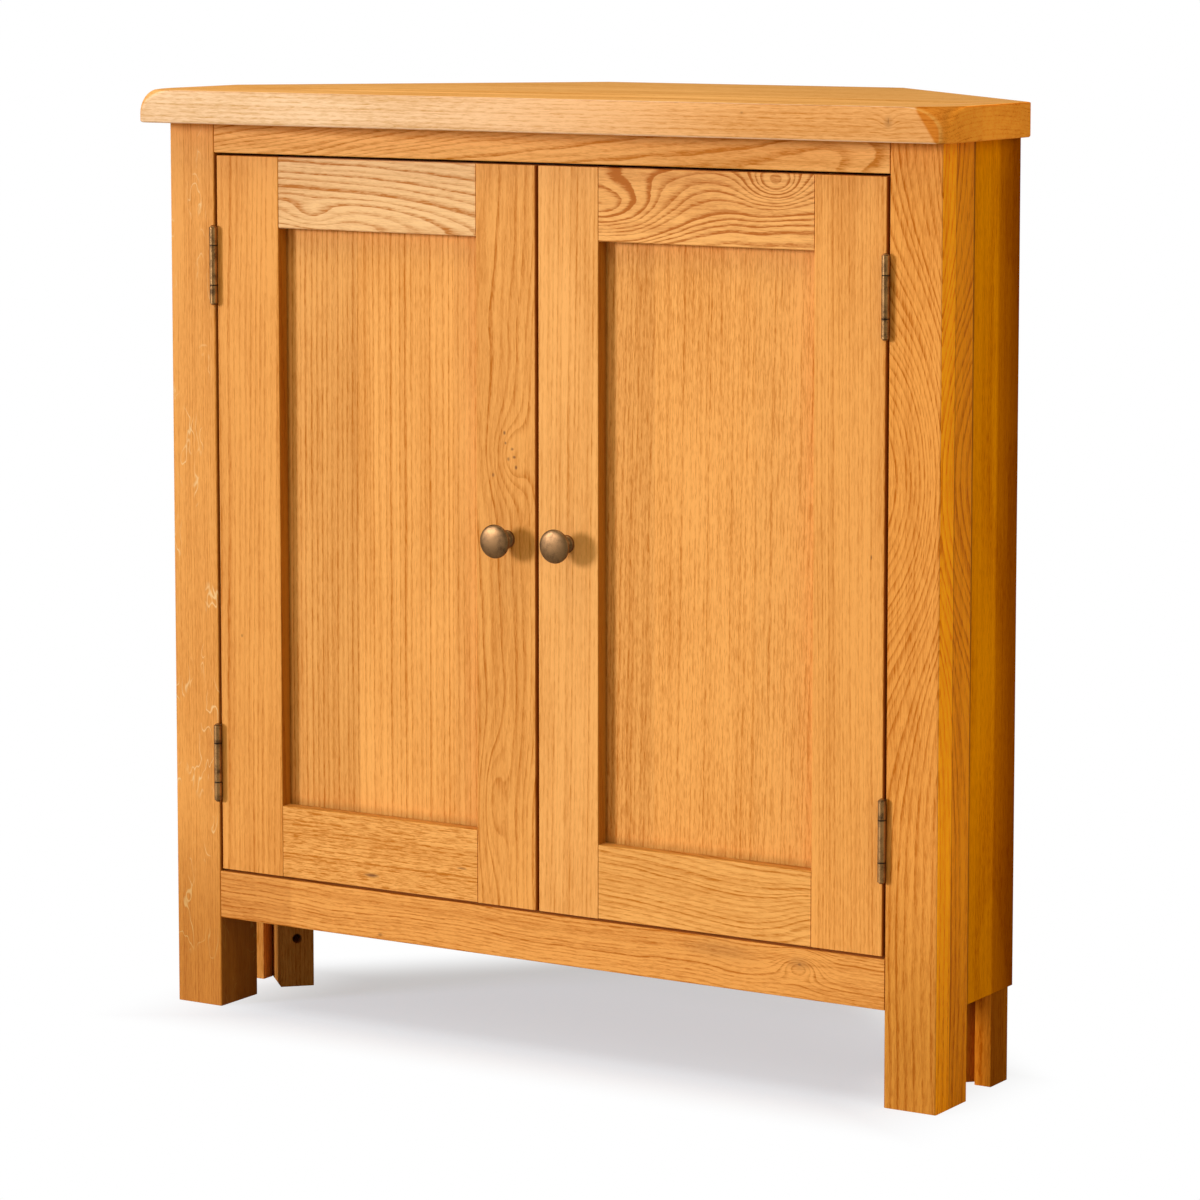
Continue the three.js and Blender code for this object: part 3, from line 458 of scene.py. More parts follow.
def oak(name, node, grain="up", tone=1.0, warm=1.0, turn=0.0, gloss=0.07, knots=(), shades=(), **more):
    """An oak material for one board.

    Its grain runs up, up on a board that faces sideways, level along X, or flat along X on a lying board.
    Object coordinates are centred on the board, turned about Z where it stands askew, and put in the order
    across, through, along. tone, one value or three, scales the colours, and warm takes away blue and some
    green. Each knot is (place, size, push, dark) and each shade is (axis, from, to, tint), all in board
    places. Any other value sets the input of the oak group with its name.
    """
    settings = bpy.context.scene.cupboard_oak
    material, net, shader = new_material(name)
    low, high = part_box(node)
    centre = (Vector(low) + Vector(high)) / 2
    centred = net.add("ShaderNodeMapping", {"Vector": net.place(), "Location": tuple(-centre)}).outputs[0]
    if turn:
        centred = net.add("ShaderNodeMapping", {"Vector": centred, "Rotation": (0, 0, turn)}).outputs[0]
    parts = net.split(centred)
    local = net.join(*(parts[axis] for axis in AXES[grain]))

    bulge, knot = None, None
    for place, size, push, dark in knots:
        node_values = {"Vector": local, "Place": place, "Size": size, "Push": push, "Dark": dark}
        made = net.group("oak_knot", {**node_values, "Bulge": bulge, "Knot": knot})
        bulge, knot = made["Bulge"], made["Knot"]
    figure = net.group("oak_figure", {"Vector": local, "Bulge": bulge, "Knot": knot})
    tint = np.array(tone) * (1, 1 - WARM_GREEN * (warm - 1), 2 - warm)
    inputs = figure["Color"].node.inputs
    for label in ("Pale", "Dark", "Fleck"):
        wood = getattr(settings, label.lower())
        inputs[label].default_value = rgba([min(1.0, c * t) for c, t in zip(wood, tint)])
    for label, value in more.items():
        inputs[label.replace("_", " ").title()].default_value = value
    colour = figure["Color"]
    for axis, start, end, shade in shades:
        values = {"Axis": axis, "From": start, "To": end, "Tint": rgba(shade)}
        colour = net.group("board_shade", {"Color": colour, "Vector": local, **values})["Color"]
    finish_surface(net, shader, colour, figure["Roughness"], figure["Height"], settings.grain_depth, 0.6)
    shader.inputs["Specular IOR Level"].default_value = gloss
    return material


# Painted shade and light on an edge start and end this far inside the board's face
EDGE_START, EDGE_END = 0.7 * MM, 0.3 * MM
# Where the right post's side shows a glue line, from the middle of its depth
GLUE_JOINT = -4.5 * MM
# Tints of faces and edges, mostly painted light and painted shade
# Painted light: the right post's side face tinted golden; LESS_GOLDEN is the rear strip's own tone
PAINTED_SIDE_LIGHT, LESS_GOLDEN = (1.6, 1.38, 0.04), (0.76, 0.7, 0.5)
# Painted shade: IN_SHADE on edges facing into the gaps, and a darker tint on stiles' edges in the recesses
IN_SHADE, PAINTED_RECESS_SHADE = (0.55, 0.38, 0.22), (0.48, 0.38, 0.14)
# Painted shade on the left post's inner face and on the side legs' outer faces
PAINTED_INNER_SHADE, PAINTED_OUTER_SHADE = (0.5, 0.42, 0.25), (0.43, 0.36, 0.25)
END_GRAIN = (0.8, 0.54, 0.19)
# Painted shade as (axis, from, to, tint): on a rail's upper edge, a panel's borders and the posts' feet
RAIL_TOP_PAINTED_SHADE = [((1, 0, 0), 0.0322, 0.0327, (0.75, 0.72, 0.6))]
PANEL_PAINTED_SHADE = [
    ((0, 0, -1), 0.256, 0.2655, (0.72, 0.76, 0.7)),
    ((0, 0, 1), 0.2625, 0.265, (0.72, 0.66, 0.5)),
    ((-1, 0, 0), 0.103, 0.1065, (0.62, 0.56, 0.4)),
]
LEFT_FOOT_PAINTED_SHADE = ((0, 0, -1), 0.2, 0.36, (0.73, 0.65, 0.46))
RIGHT_FOOT_PAINTED_SHADE = ((0, 0, -1), 0.16, 0.38, (0.8, 0.79, 0.55))
SIDE_BOARD = dict(grain="side", pith=(0.02, -0.25, 0), ring_width=0.006, wave=0.008, pore_strength=0.4)
# Each visible board's figure, read from the photograph: places in metres from the board's middle, in
# the order across, through, along the grain. edges paints shade on the faces to the left or right, and
# painted light on the right post's side face.
BOARD_FIGURES = {
    "front_post_left": dict(
        pith=(-0.3, 0.02, 0), ring_width=0.0026, wave=0.003, ring_strength=0.32, pore_strength=0.3,
        fleck_strength=0.9, strips=(0, 30, 0), strip_start=0.135, tone=0.94, warm=1.16, seed=1.0,
        edges={RIGHT: PAINTED_INNER_SHADE}, shades=[LEFT_FOOT_PAINTED_SHADE],
    ),
    "front_post_right": dict(
        pith=(-0.14, 0.11, 0), lean=(-0.012, 0, 0), ring_width=0.005, wave=0.005, wave_length=0.3,
        ring_strength=0.95, pore_strength=0.42, strips=(0, 30, 0), strip_start=0.135, tone=0.95, warm=1.3,
        seed=2.0, gloss=0.04, edges={LEFT: IN_SHADE, RIGHT: PAINTED_SIDE_LIGHT},
        knots=[
            ((-0.03, 0, 0.13), (0.09, 1, 0.15), -0.09, 0),
            ((0.025, GLUE_JOINT, 0), (0.02, 0.0018, 9), 0, 0.6),
        ],
        shades=[((0, 1, 0), GLUE_JOINT, GLUE_JOINT + 0.6 * MM, LESS_GOLDEN), RIGHT_FOOT_PAINTED_SHADE],
    ),
    "front_top_rail": dict(
        grain="level", pith=(-0.05, 0.03, 0), lean=(0.16, 0.03, 0), ring_width=0.0042, wave=0.008,
        wave_length=0.16, ring_strength=0.9, pore_strength=0.34, tone=(1.02, 1.08, 1.15), seed=3.0,
    ),
    "front_bottom_rail": dict(
        grain="level", pith=(0.12, 0.03, 0), lean=(-0.02, 0, 0), ring_width=0.0034, wave=0.007,
        wave_length=0.1, ring_strength=0.85, pore_strength=0.44, tone=0.94, warm=1.14, seed=4.0,
        knots=[
            ((0.008, 0, 0.266), (0.012, 1, 0.022), 0.018, 0.35),
            ((0.008, 0, 0.266), (0.003, 1, 0.005), 0, 0.8),
            ((-0.017, 0, -0.169), (0.003, 1, 0.005), 0.002, 0.7),
            ((0.011, 0, 0.187), (0.02, 1, 0.07), 0.004, 0.25),
        ],
        shades=[((0, 0, -1), 0.266, 0.27, (0.9, 0.86, 0.8))],
    ),
    "left_door_hinge_stile": dict(
        pith=(-0.1, 0.05, 0), lean=(0.012, 0, 0), ring_width=0.0052, wave=0.005, wave_length=0.5,
        pore_strength=0.26, tone=0.96, warm=1.14, seed=5.0,
        knots=[((-0.01, 0, -0.11), (0.002, 1, 0.003), 0.001, 0.7)],
        edges={LEFT: IN_SHADE, RIGHT: PAINTED_RECESS_SHADE},
    ),
    "left_door_meeting_stile": dict(
        pith=(-0.05, 0.035, 0), lean=(0.03, 0.035, 0), ring_width=0.0054, wave=0.012, wave_length=0.22,
        ring_strength=0.8, pore_strength=0.3, tone=0.96, warm=1.08, seed=6.0, edges={RIGHT: IN_SHADE},
        knots=[
            ((0.004, 0, 0.075), (0.019, 1, 0.034), 0.02, 0.0),
            ((-0.001, 0, 0.094), (0.0026, 1, 0.0035), 0, 1.0),
            ((0.000, 0, 0.085), (0.0022, 1, 0.0025), 0, 1.0),
            ((0.007, 0, 0.08), (0.003, 1, 0.0025), 0, 1.0),
            ((0.003, 0, 0.071), (0.0026, 1, 0.0035), 0, 1.0),
            ((0.009, 0, 0.073), (0.0034, 1, 0.0025), 0, 1.0),
            ((0.011, 0, 0.064), (0.0026, 1, 0.0035), 0, 1.0),
            ((-0.013, 0, 0.056), (0.0024, 1, 0.0035), 0, 0.9),
            ((-0.014, 0, -0.235), (0.012, 1, 0.05), 0.016, 0.0),
        ],
    ),
    "left_door_top_rail": dict(
        grain="level", pith=(-0.034, 0.0025, 0), lean=(0, 0.17, 0), ring_width=0.0056,
        wave_length=0.14, ring_strength=0.95, pore_strength=0.28, tone=(1.02, 1.34, 2.4),
        dark=(0.52, 0.17, 0.02, 1), seed=7.0,
        knots=[((-0.02, 0, -0.07), (0.012, 1, 0.03), 0.013, 0)],
    ),
    "left_door_bottom_rail": dict(
        grain="level", pith=(-0.12, 0.04, 0), ring_width=0.0036, wave=0.003,
        pore_strength=0.72, tone=(1.01, 1.04, 1.08), seed=8.0, shades=RAIL_TOP_PAINTED_SHADE,
        knots=[
            ((-0.021, 0, -0.008), (0.0036, 1, 0.015), 0.002, 1.0),
            ((-0.004, 0, 0.09), (0.002, 1, 0.011), 0.001, 0.8),
        ],
    ),
    "right_door_meeting_stile": dict(
        pith=(-0.2, 0.04, 0), lean=(0.015, 0, 0), ring_width=0.0044, wave=0.005, wave_length=0.5,
        ring_strength=0.5, pore_strength=0.28, tone=(1.01, 1.04, 1.15), seed=9.0,
        edges={LEFT: IN_SHADE, RIGHT: PAINTED_RECESS_SHADE},
    ),
    "right_door_hinge_stile": dict(
        pith=(0.22, 0.04, 0), lean=(-0.01, 0, 0), ring_width=0.0038, wave_length=0.5,
        ring_strength=0.45, pore_strength=0.32, tone=0.97, warm=1.12, seed=10.0,
        knots=[((0.022, 0, 0.01), (0.0012, 1, 0.004), 0, 0.9)], edges={RIGHT: IN_SHADE},
    ),
    "right_door_top_rail": dict(
        grain="level", pith=(-0.16, 0.03, 0), lean=(0.02, 0, 0), ring_width=0.0066, wave=0.007,
        wave_length=0.07, ring_strength=1.6, pore_strength=0.34, tone=(1.02, 1.09, 1.25),
        dark=(0.5, 0.14, 0.012, 1), seed=11.0,
        knots=[
            ((0.022, 0, 0.07), (0.018, 1, 0.03), 0.036, 0),
            ((-0.006, 0, -0.105), (0.03, 1, 0.072), 0.05, 0),
        ],
    ),
    "right_door_bottom_rail": dict(
        grain="level", pith=(0.11, 0.03, 0), lean=(-0.1, 0, 0), ring_width=0.0046, wave=0.006,
        wave_length=0.12, ring_strength=0.85, pore_strength=0.34, tone=(0.99, 1.03, 1.06), seed=12.0,
        knots=[((-0.01, 0, 0.12), (0.03, 1, 0.045), 0.022, 0)], shades=RAIL_TOP_PAINTED_SHADE,
    ),
    "left_door_panel": dict(
        pith=(-0.5, 0.05, 0), ring_width=0.0056, wave=0.003, wave_length=0.6, ring_strength=0.72,
        pore_strength=0.3, strips=(1 / 0.104, 0, 0), strip_start=0.275, strip_tone=0.12, seed=13.0,
        shades=PANEL_PAINTED_SHADE,
    ),
    "right_door_panel": dict(
        pith=(-0.45, 0.08, 0), lean=(0.02, 0, 0), ring_width=0.0046, wave_length=0.5,
        ring_strength=0.45, strips=(1 / 0.1, 0, 0), strip_start=-0.429, strip_tone=0.1,
        tone=0.99, warm=1.04, seed=14.0, shades=PANEL_PAINTED_SHADE,
    ),
    "side_panel_right": dict(
        # Painted shade: the warm, saturated tone of the side that faces away from the light
        **SIDE_BOARD, tone=(1.0, 1.1, 1.0), warm=1.99, gloss=0.0, seed=15.0,
        knots=[((-0.039, 0, 0), (0.0022, 1, 9), 0, 0.8)],
        # Painted shade: darker towards the rear of the panel and towards the bottom
        shades=[
            ((1, 0, 0), 0.003, 0.01, (0.66, 0.56, 0.5)),
            ((1, 0, 0), 0.008, 0.05, (0.56, 0.44, 0.4)),
            ((0, 0, -1), 0.16, 0.36, (0.82, 0.8, 1)),
        ],
    ),
    "side_panel_left": dict(**SIDE_BOARD, ring_strength=0.5, tone=0.9, warm=1.5, gloss=0.03, seed=16.0),
}

CASE_FACE = ("front_post_left", "front_post_right", "front_top_rail", "front_bottom_rail")
DOOR_BOARDS = ("hinge_stile", "meeting_stile", "top_rail", "bottom_rail", "panel")
WALL_TURN = math.radians(45)
# An axis this long in one direction keeps a shade to the one face that lies furthest along it.
ONE_FACE = 1000.0


def dress_board(node, **extra):
    """A softened copy of the CAD board in its own oak."""
    figure = {**BOARD_FIGURES.get(node, {}), **extra}
    low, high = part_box(node)
    half = (high[0] - low[0]) / 2
    start, end = half - EDGE_START, half - EDGE_END
    # Painted shade on the board's left and right faces, and painted light on the right post's side face
    faces = [((side, 0, 0), start, end, tint) for side, tint in figure.pop("edges", {}).items()]
    figure["shades"] = [*faces, *figure.get("shades", [])]
    softened_copy(node, oak(f"oak_{node}", node, **figure), bpy.context.scene.cupboard_oak.arris)


# Shapes


# Steps of the top's edges, dome and corners; the edge takes up the last ones of the dome
EDGE_STEPS, DOME_STEPS, DOME_END, CORNER_STEPS = 6, 22, 3, 25


def top_outline(inset, radius):
    """Plan of the top board as rows of x and y: a six-sided outline whose front corners are arcs.

    The right half runs round the front corner to the back, and its mirror image closes the outline.
    """
    (_, low_y, _), (high_x, high_y, _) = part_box("top_board")
    corners = np.array([vertex.co for vertex in frame["nodes"]["top_board"].data.vertices])
    back_half = corners[corners[:, 1] > high_y - NEAR, 0].max()
    wall_sum = back_half + high_y - inset * math.sqrt(2)
    half, front, back = high_x - inset, low_y + inset, high_y - inset
    angle = np.linspace(0, np.pi / 2, CORNER_STEPS)
    arc_x = half - radius + radius * np.sin(angle)
    arc_y = front + radius - radius * np.cos(angle)
    tail = np.array([[half, wall_sum - half], [wall_sum - back, back]])
    right = np.concatenate([np.stack([arc_x, arc_y], axis=1), tail])
    return np.concatenate([right, right[::-1] * np.array([-1.0, 1.0])])


def top_board_surface():
    """Rings of the outline from the underside to the top.

    Both edges are small quarter rounds. Near the top the corner radius grows along a quarter ellipse, which
    gives the soft dome of the front corners.
    """
    low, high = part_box("top_board")
    thick = high[2] - low[2]
    ease, under, upper, rise = 2.0 * MM, 10 * MM, 52 * MM, 22 * MM
    turn = np.linspace(0, np.pi / 2, EDGE_STEPS)
    levels = [(ease * (1 - math.cos(a)), ease * (1 - math.sin(a))) for a in turn]
    sweep = np.linspace(0, np.pi / 2, DOME_STEPS)[:-DOME_END]
    levels += [(thick - rise + rise * math.sin(a), 0.0) for a in sweep]
    levels += [(thick - ease + ease * math.sin(a), ease * (1 - math.cos(a))) for a in turn]
    levels = sorted({(round(z, 7), round(i, 7)) for z, i in levels})
    rings = []
    for z, inset in levels:
        share = min(max((z - thick + rise) / rise, 0.0), 1.0)
        radius = under + (upper - under) * (1 - math.sqrt(max(0.0, 1 - share**2)))
        outline = top_outline(inset, radius)
        rings.append(np.column_stack([outline, np.full(len(outline), low[2] + z)]))
    count = len(rings[0])
    vertices = np.concatenate(rings)
    faces = [list(face) for face in grid_faces(len(rings), count)]
    faces.append(list(range(count))[::-1])
    faces.append(list(range((len(rings) - 1) * count, len(rings) * count)))
    return vertices, faces


def revolve(profile, segments, origin, axis):
    """A profile of (radius, distance) pairs turned about an axis: x and y are radius times cos and sin."""
    profile = np.asarray(profile, dtype=float)
    angle = np.linspace(0, 2 * np.pi, segments, endpoint=False)
    ring = profile[1:-1]
    x = ring[:, :1] * np.cos(angle)
    y = ring[:, :1] * np.sin(angle)
    z = np.broadcast_to(ring[:, 1:], x.shape)
    body = np.stack([x, y, z], axis=-1).reshape(-1, 3)
    ends = np.array([[0, 0, profile[0, 1]], [0, 0, profile[-1, 1]]])
    vertices = np.concatenate([body, ends])
    first, last = len(body), len(body) + 1
    base = (len(ring) - 1) * segments
    faces = grid_faces(len(ring), segments).tolist()
    faces += [[first, (j + 1) % segments, j] for j in range(segments)]
    faces += [[last, base + j, base + (j + 1) % segments] for j in range(segments)]
    turn = Vector((0, 0, 1)).rotation_difference(Vector(axis)).to_matrix()
    return vertices @ np.array(turn).T + np.asarray(origin), faces


def smooth_profile(points, steps):
    """A Catmull-Rom curve through (radius, distance) points, held at or outside the axis."""
    p = np.asarray(points, dtype=float)
    padded = np.concatenate([p[:1] * 2 - p[1:2], p, p[-1:] * 2 - p[-2:-1]])
    t = np.linspace(0, 1, steps, endpoint=False)[:, None]
    spans = []
    for i in range(len(padded) - 3):
        a, b, c, d = padded[i : i + 4]
        square, cube = 2 * a - 5 * b + 4 * c - d, 3 * b - a - 3 * c + d
        spans.append(0.5 * (2 * b + (c - a) * t + square * t**2 + cube * t**3))
    curve = np.concatenate([*spans, p[-1:]])
    curve[:, 0] = np.maximum(curve[:, 0], 0.0)
    return curve


# Base, neck, rim and dome of the knob, as shares of its radius and length
KNOB_SHARES = (
    (0.0, 0.0), (0.45, 0.0), (0.533, 0.0), (0.533, 0.05), (0.5, 0.115), (0.38, 0.165), (0.312, 0.26),
    (0.305, 0.42), (0.36, 0.54), (0.58, 0.655), (0.85, 0.745), (0.975, 0.81), (1.0, 0.855), (0.985, 0.895),
    (0.93, 0.925), (0.78, 0.957), (0.55, 0.982), (0.28, 0.996), (0.0, 1.0),
)
KNOB_STEPS = 5
# The heights at which the knuckles of a hinge meet, as shares of its length
KNUCKLE_ENDS = (0.24, 0.76)
# A countersunk screw head, as pairs of radius and distance outwards
SCREW_HEAD = MM * np.array(
    [(0, 0.02), (1.2, 0.02), (2.45, 0.06), (2.62, 0.12), (1.62, 0.98), (1.62, 1.0), (0, 1.0)]
)
SCREW_SEGMENTS = 24
SCREW_SPACING = 22 * MM
# Each screw of a leaf: its step up from the middle and its share of the leaf's width from the front
SCREW_PLACES = ((-1, 0.66), (0, 0.42), (1, 0.66))
# Rounded edges of the fittings, and the angles in degrees up to which surfaces are shaded smooth
FITTING_EDGE, SCREW_EDGE, CATCH_EDGE, HINGE_EDGE = 0.25 * MM, 0.15 * MM, 0.6 * MM, 0.4 * MM
TOP_SMOOTH, FITTING_SMOOTH, HINGE_SMOOTH, SCREW_SMOOTH, KNOB_SMOOTH = 25, 40, 30, 35, 50
LEAF_WIDTH = 20.4 * MM
# The leaf's bare face lies this far from the pin's axis
LEAF_FACE = 0.15 * MM


# Metal and plastic

METAL_INPUTS = {"Vector": ORIGIN, "Bright": WHITE, "Dull": WHITE, "Wear": 0.5}
METAL_CLOUDS, METAL_SCUFFS, PLASTIC_SPECKLES = (110.0,) * 3, (1400.0,) * 3, (2500.0,) * 3
METAL_DEPTH, PLASTIC_DEPTH = 0.02 * MM, 0.03 * MM
METALLIC = 0.85
DULL_METAL, RUBBED_METAL, MATTE_PLASTIC = 0.45, 0.34, 0.55
# The painted shade line between two knuckles: half its dark core, half its full width, how dark it is,
# and its colour as a share of the dull tone
JOINT_CORE, JOINT_EDGE, JOINT_DARK, JOINT_SHADE_TONE = 0.3 * MM, 0.9 * MM, 0.9, 0.2


def aged_metal_group():
    """Brass under a patina: cloudy noise thins the patina, and a fine noise scuffs it."""
    net, given, result = new_group("aged_metal", METAL_INPUTS, FINISH_OUTPUTS)
    cloud = net.noise(given["Vector"], METAL_CLOUDS, 4.0, 0.6)
    scuff = net.noise(given["Vector"], METAL_SCUFFS, 3.0, 0.6)
    spread = net.weigh((cloud, 0.7), (scuff, 0.3))
    bare, full = (net.minus(level, given["Wear"]) for level in (0.85, 1.15))
    net.feed(result["Color"], net.mix(net.remap(spread, bare, full), given["Dull"], given["Bright"]))
    net.feed(result["Roughness"], net.remap(spread, 0.3, 0.7, DULL_METAL, RUBBED_METAL, "LINEAR"))
    net.feed(result["Height"], scuff)


def metal(name, bright, dull, wear, joints=()):
    """A metal with the shared patina, and painted shade in a line at the height of each joint."""
    material, net, shader = new_material(name)
    place = net.place()
    tones = {"Bright": rgba(bright), "Dull": rgba(dull), "Wear": wear}
    patina = net.group("aged_metal", {"Vector": place, **tones})
    colour = patina["Color"]
    joint_shade = rgba([c * JOINT_SHADE_TONE for c in dull])
    for level in joints:
        away = net.maths("ABSOLUTE", net.minus(net.split(place)[2], level))
        colour = net.mix(net.remap(away, JOINT_CORE, JOINT_EDGE, JOINT_DARK, 0.0), colour, joint_shade)
    finish_surface(net, shader, colour, patina["Roughness"], patina["Height"], METAL_DEPTH)
    shader.inputs["Metallic"].default_value = METALLIC
    return material


def moulded_plastic(name, colour):
    """A matte plastic with a fine moulded texture."""
    material, net, shader = new_material(name)
    speckle = net.noise(net.place(), PLASTIC_SPECKLES)
    shades = [rgba([c * f for c in colour]) for f in (0.85, 1.15)]
    finish_surface(net, shader, net.mix(speckle, *shades), MATTE_PLASTIC, speckle, PLASTIC_DEPTH)
    return material


# Operators


class CUPBOARD_OT_finishes(bpy.types.Operator):
    """Makes the shared grain and patina groups"""

    bl_idname = "cupboard.finishes"
    bl_label = "Shared finishes"

    def execute(self, context):
        oak_group()
        knot_group()
        shade_group()
        aged_metal_group()
        return {"FINISHED"}


class CUPBOARD_OT_top(bpy.types.Operator):
    """Makes the top board with its softened front corners"""

    bl_idname = "cupboard.top"
    bl_label = "Top board"

    def execute(self, context):
        size = np.subtract(*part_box("top_board")[::-1])
        front, above = ONE_FACE * size[1] / 2, ONE_FACE * size[2] / 2
        shades = [
            # Painted sheen: a pale front edge, the sheen fading so that it turns browner to the right
            ((-1, 0, 0), 0.202, 0.204, (1.06, 1.38, 2.4)),
            ((-ONE_FACE, 0, 1), front - 0.25, front + 0.3, (0.9, 0.66, 0.38)),
            # End grain at the right corner, taken off the upper face again, and a pale right end
            ((0, 0.67, 1), 0.393, 0.3965, END_GRAIN),
            ((0, ONE_FACE, 1), above + 0.3829, above + 0.3865, [1 / c for c in END_GRAIN]),
            ((0, 0, 1), 0.4095, 0.4148, (1.6, 1.66, 1.55)),
        ]
        material = oak(
            "oak_top", "top_board", grain="flat", pith=(-0.16, -0.6, 0), ring_width=0.0034, wave=0.006,
            wave_length=0.5, ring_strength=0.4, pore_strength=0.36, strips=(1 / 0.07, 0, 0),
            strip_tone=0.07, tone=(1.0, 1.11, 1.57), seed=21.0, gloss=0.0, shades=shades,
            knots=[
                ((-0.2045, 0.002, 0.361), (0.02, 0.01, 0.008), 0.006, 0.35),
                ((-0.2045, 0.003, 0.361), (0.02, 0.006, 0.0012), 0, 0.9),
                ((-0.2045, 0.007, 0.222), (0.01, 0.002, 0.003), 0.001, 0.5),
            ],
        )
        shape = top_board_surface()
        piece = new_piece("top_board_softened", *shape, "cabinet", "oak_top", material, TOP_SMOOTH)
        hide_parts("top_board")
        return {"FINISHED"}


class CUPBOARD_OT_face_frame(bpy.types.Operator):
    """Dresses the posts and the rails of the face frame"""

    bl_idname = "cupboard.face_frame"
    bl_label = "Posts and front rails"

    def execute(self, context):
        for node in CASE_FACE:
            dress_board(node)
        return {"FINISHED"}


class CUPBOARD_OT_sides(bpy.types.Operator):
    """Dresses the side panels and the legs"""

    bl_idname = "cupboard.sides"
    bl_label = "Sides and legs"

    def execute(self, context):
        for name, side in SIDES.items():
            dress_board(f"side_panel_{name}")
            figure = dict(pith=(0.1, 0.2, 0), ring_width=0.0034, gloss=0.0)
            # Painted shade: the right side's boards get a warmer, saturated tone, as in shade
            warm = 1.8 if side == RIGHT else 1.2
            edges = {side: PAINTED_OUTER_SHADE}
            dress_board(f"side_rear_leg_{name}", tone=0.9, warm=warm, seed=30.0 + side, edges=edges, **figure)
            figure["turn"] = -side * WALL_TURN
            # Painted shade: the rear legs are darkened to the tone they show in shade
            dress_board(f"rear_leg_{name}", tone=0.55, warm=warm, seed=33.0 + side, **figure)
            dress_board(f"apex_leg_{name}", tone=0.72, warm=1.3, seed=36.0 + side, **figure)
        return {"FINISHED"}


class CUPBOARD_OT_back(bpy.types.Operator):
    """Dresses the back panels and their rails"""

    bl_idname = "cupboard.back"
    bl_label = "Back"

    def execute(self, context):
        for place, turn in (("left", WALL_TURN), ("right", -WALL_TURN), ("centre", 0.0)):
            dress_board(
                f"back_panel_{place}", pith=(0.4, 0.3, 0), ring_width=0.004, ring_strength=0.4,
                strips=(1 / 0.09, 0, 0), strip_tone=0.1, tone=0.84, warm=0.95, turn=turn, seed=40.0 + turn,
            )
            for level in ("lower", "upper"):
                dress_board(
                    f"{level}_rail_{place}", grain="level", pith=(0.2, 0.1, 0), ring_width=0.003,
                    tone=0.82, warm=0.95, turn=turn, seed=44.0 + turn,
                )
        return {"FINISHED"}


class CUPBOARD_OT_inside(bpy.types.Operator):
    """Dresses the floor, its bearer, the shelf, the pegs and the catch"""

    bl_idname = "cupboard.inside"
    bl_label = "Floor, shelf and fittings"

    def execute(self, context):
        for node, seed in (("floor_board", 50.0), ("shelf", 51.0)):
            dress_board(
                node, grain="flat", pith=(-0.2, -0.5, 0), ring_width=0.0034, ring_strength=0.4,
                strips=(1 / 0.075, 0, 0), strip_tone=0.1, tone=0.86, warm=0.95, seed=seed,
            )
        dress_board("floor_bearer_front", grain="level", pith=(0.2, 0.1, 0), tone=0.8, seed=52.0)
        steel = metal("zinc_plate", (0.6, 0.59, 0.57), (0.34, 0.33, 0.31), 0.6)
        for name in SIDES:
            pegs = (f"shelf_peg_front_{name}", f"shelf_peg_rear_{name}")
            for fitting in (*pegs, f"{name}_door_strike_plate"):
                softened_copy(fitting, steel, FITTING_EDGE, "finished", FITTING_SMOOTH)
            softened_copy(f"{name}_door_knob_screw", steel, SCREW_EDGE, "finished", FITTING_SMOOTH)
        plastic = moulded_plastic("brown_plastic", (0.07, 0.035, 0.02))
        softened_copy("door_catch", plastic, CATCH_EDGE, "moulded", FITTING_SMOOTH)
        return {"FINISHED"}


class CUPBOARD_OT_doors(bpy.types.Operator):
    """Dresses the stiles, rails and panels of both doors"""

    bl_idname = "cupboard.doors"
    bl_label = "Doors"

    def execute(self, context):
        for name in SIDES:
            for board in DOOR_BOARDS:
                dress_board(f"{name}_door_{board}")
        return {"FINISHED"}


class CUPBOARD_OT_knobs(bpy.types.Operator):
    """Turns the two domed knobs"""

    bl_idname = "cupboard.knobs"
    bl_label = "Knobs"

    def execute(self, context):
        settings = context.scene.cupboard_metal
        brass = metal("antique_brass", settings.brass, settings.patina, 0.58)
        for name in SIDES:
            node = f"{name}_door_knob"
            low, high = map(np.array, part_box(node))
            centre = (low + high) / 2
            radius, length = (high[0] - low[0]) / 2, high[1] - low[1]
            profile = smooth_profile([(radius * r, length * d) for r, d in KNOB_SHARES], KNOB_STEPS)
            origin = (centre[0], high[1], centre[2])
            shape = revolve(profile, settings.knob_segments, origin, (0, -1, 0))
            body = f"{name}_door"
            piece = new_piece(f"{node}_turned", *shape, body, "antique_brass", brass, KNOB_SMOOTH)
            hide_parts(node)
        return {"FINISHED"}


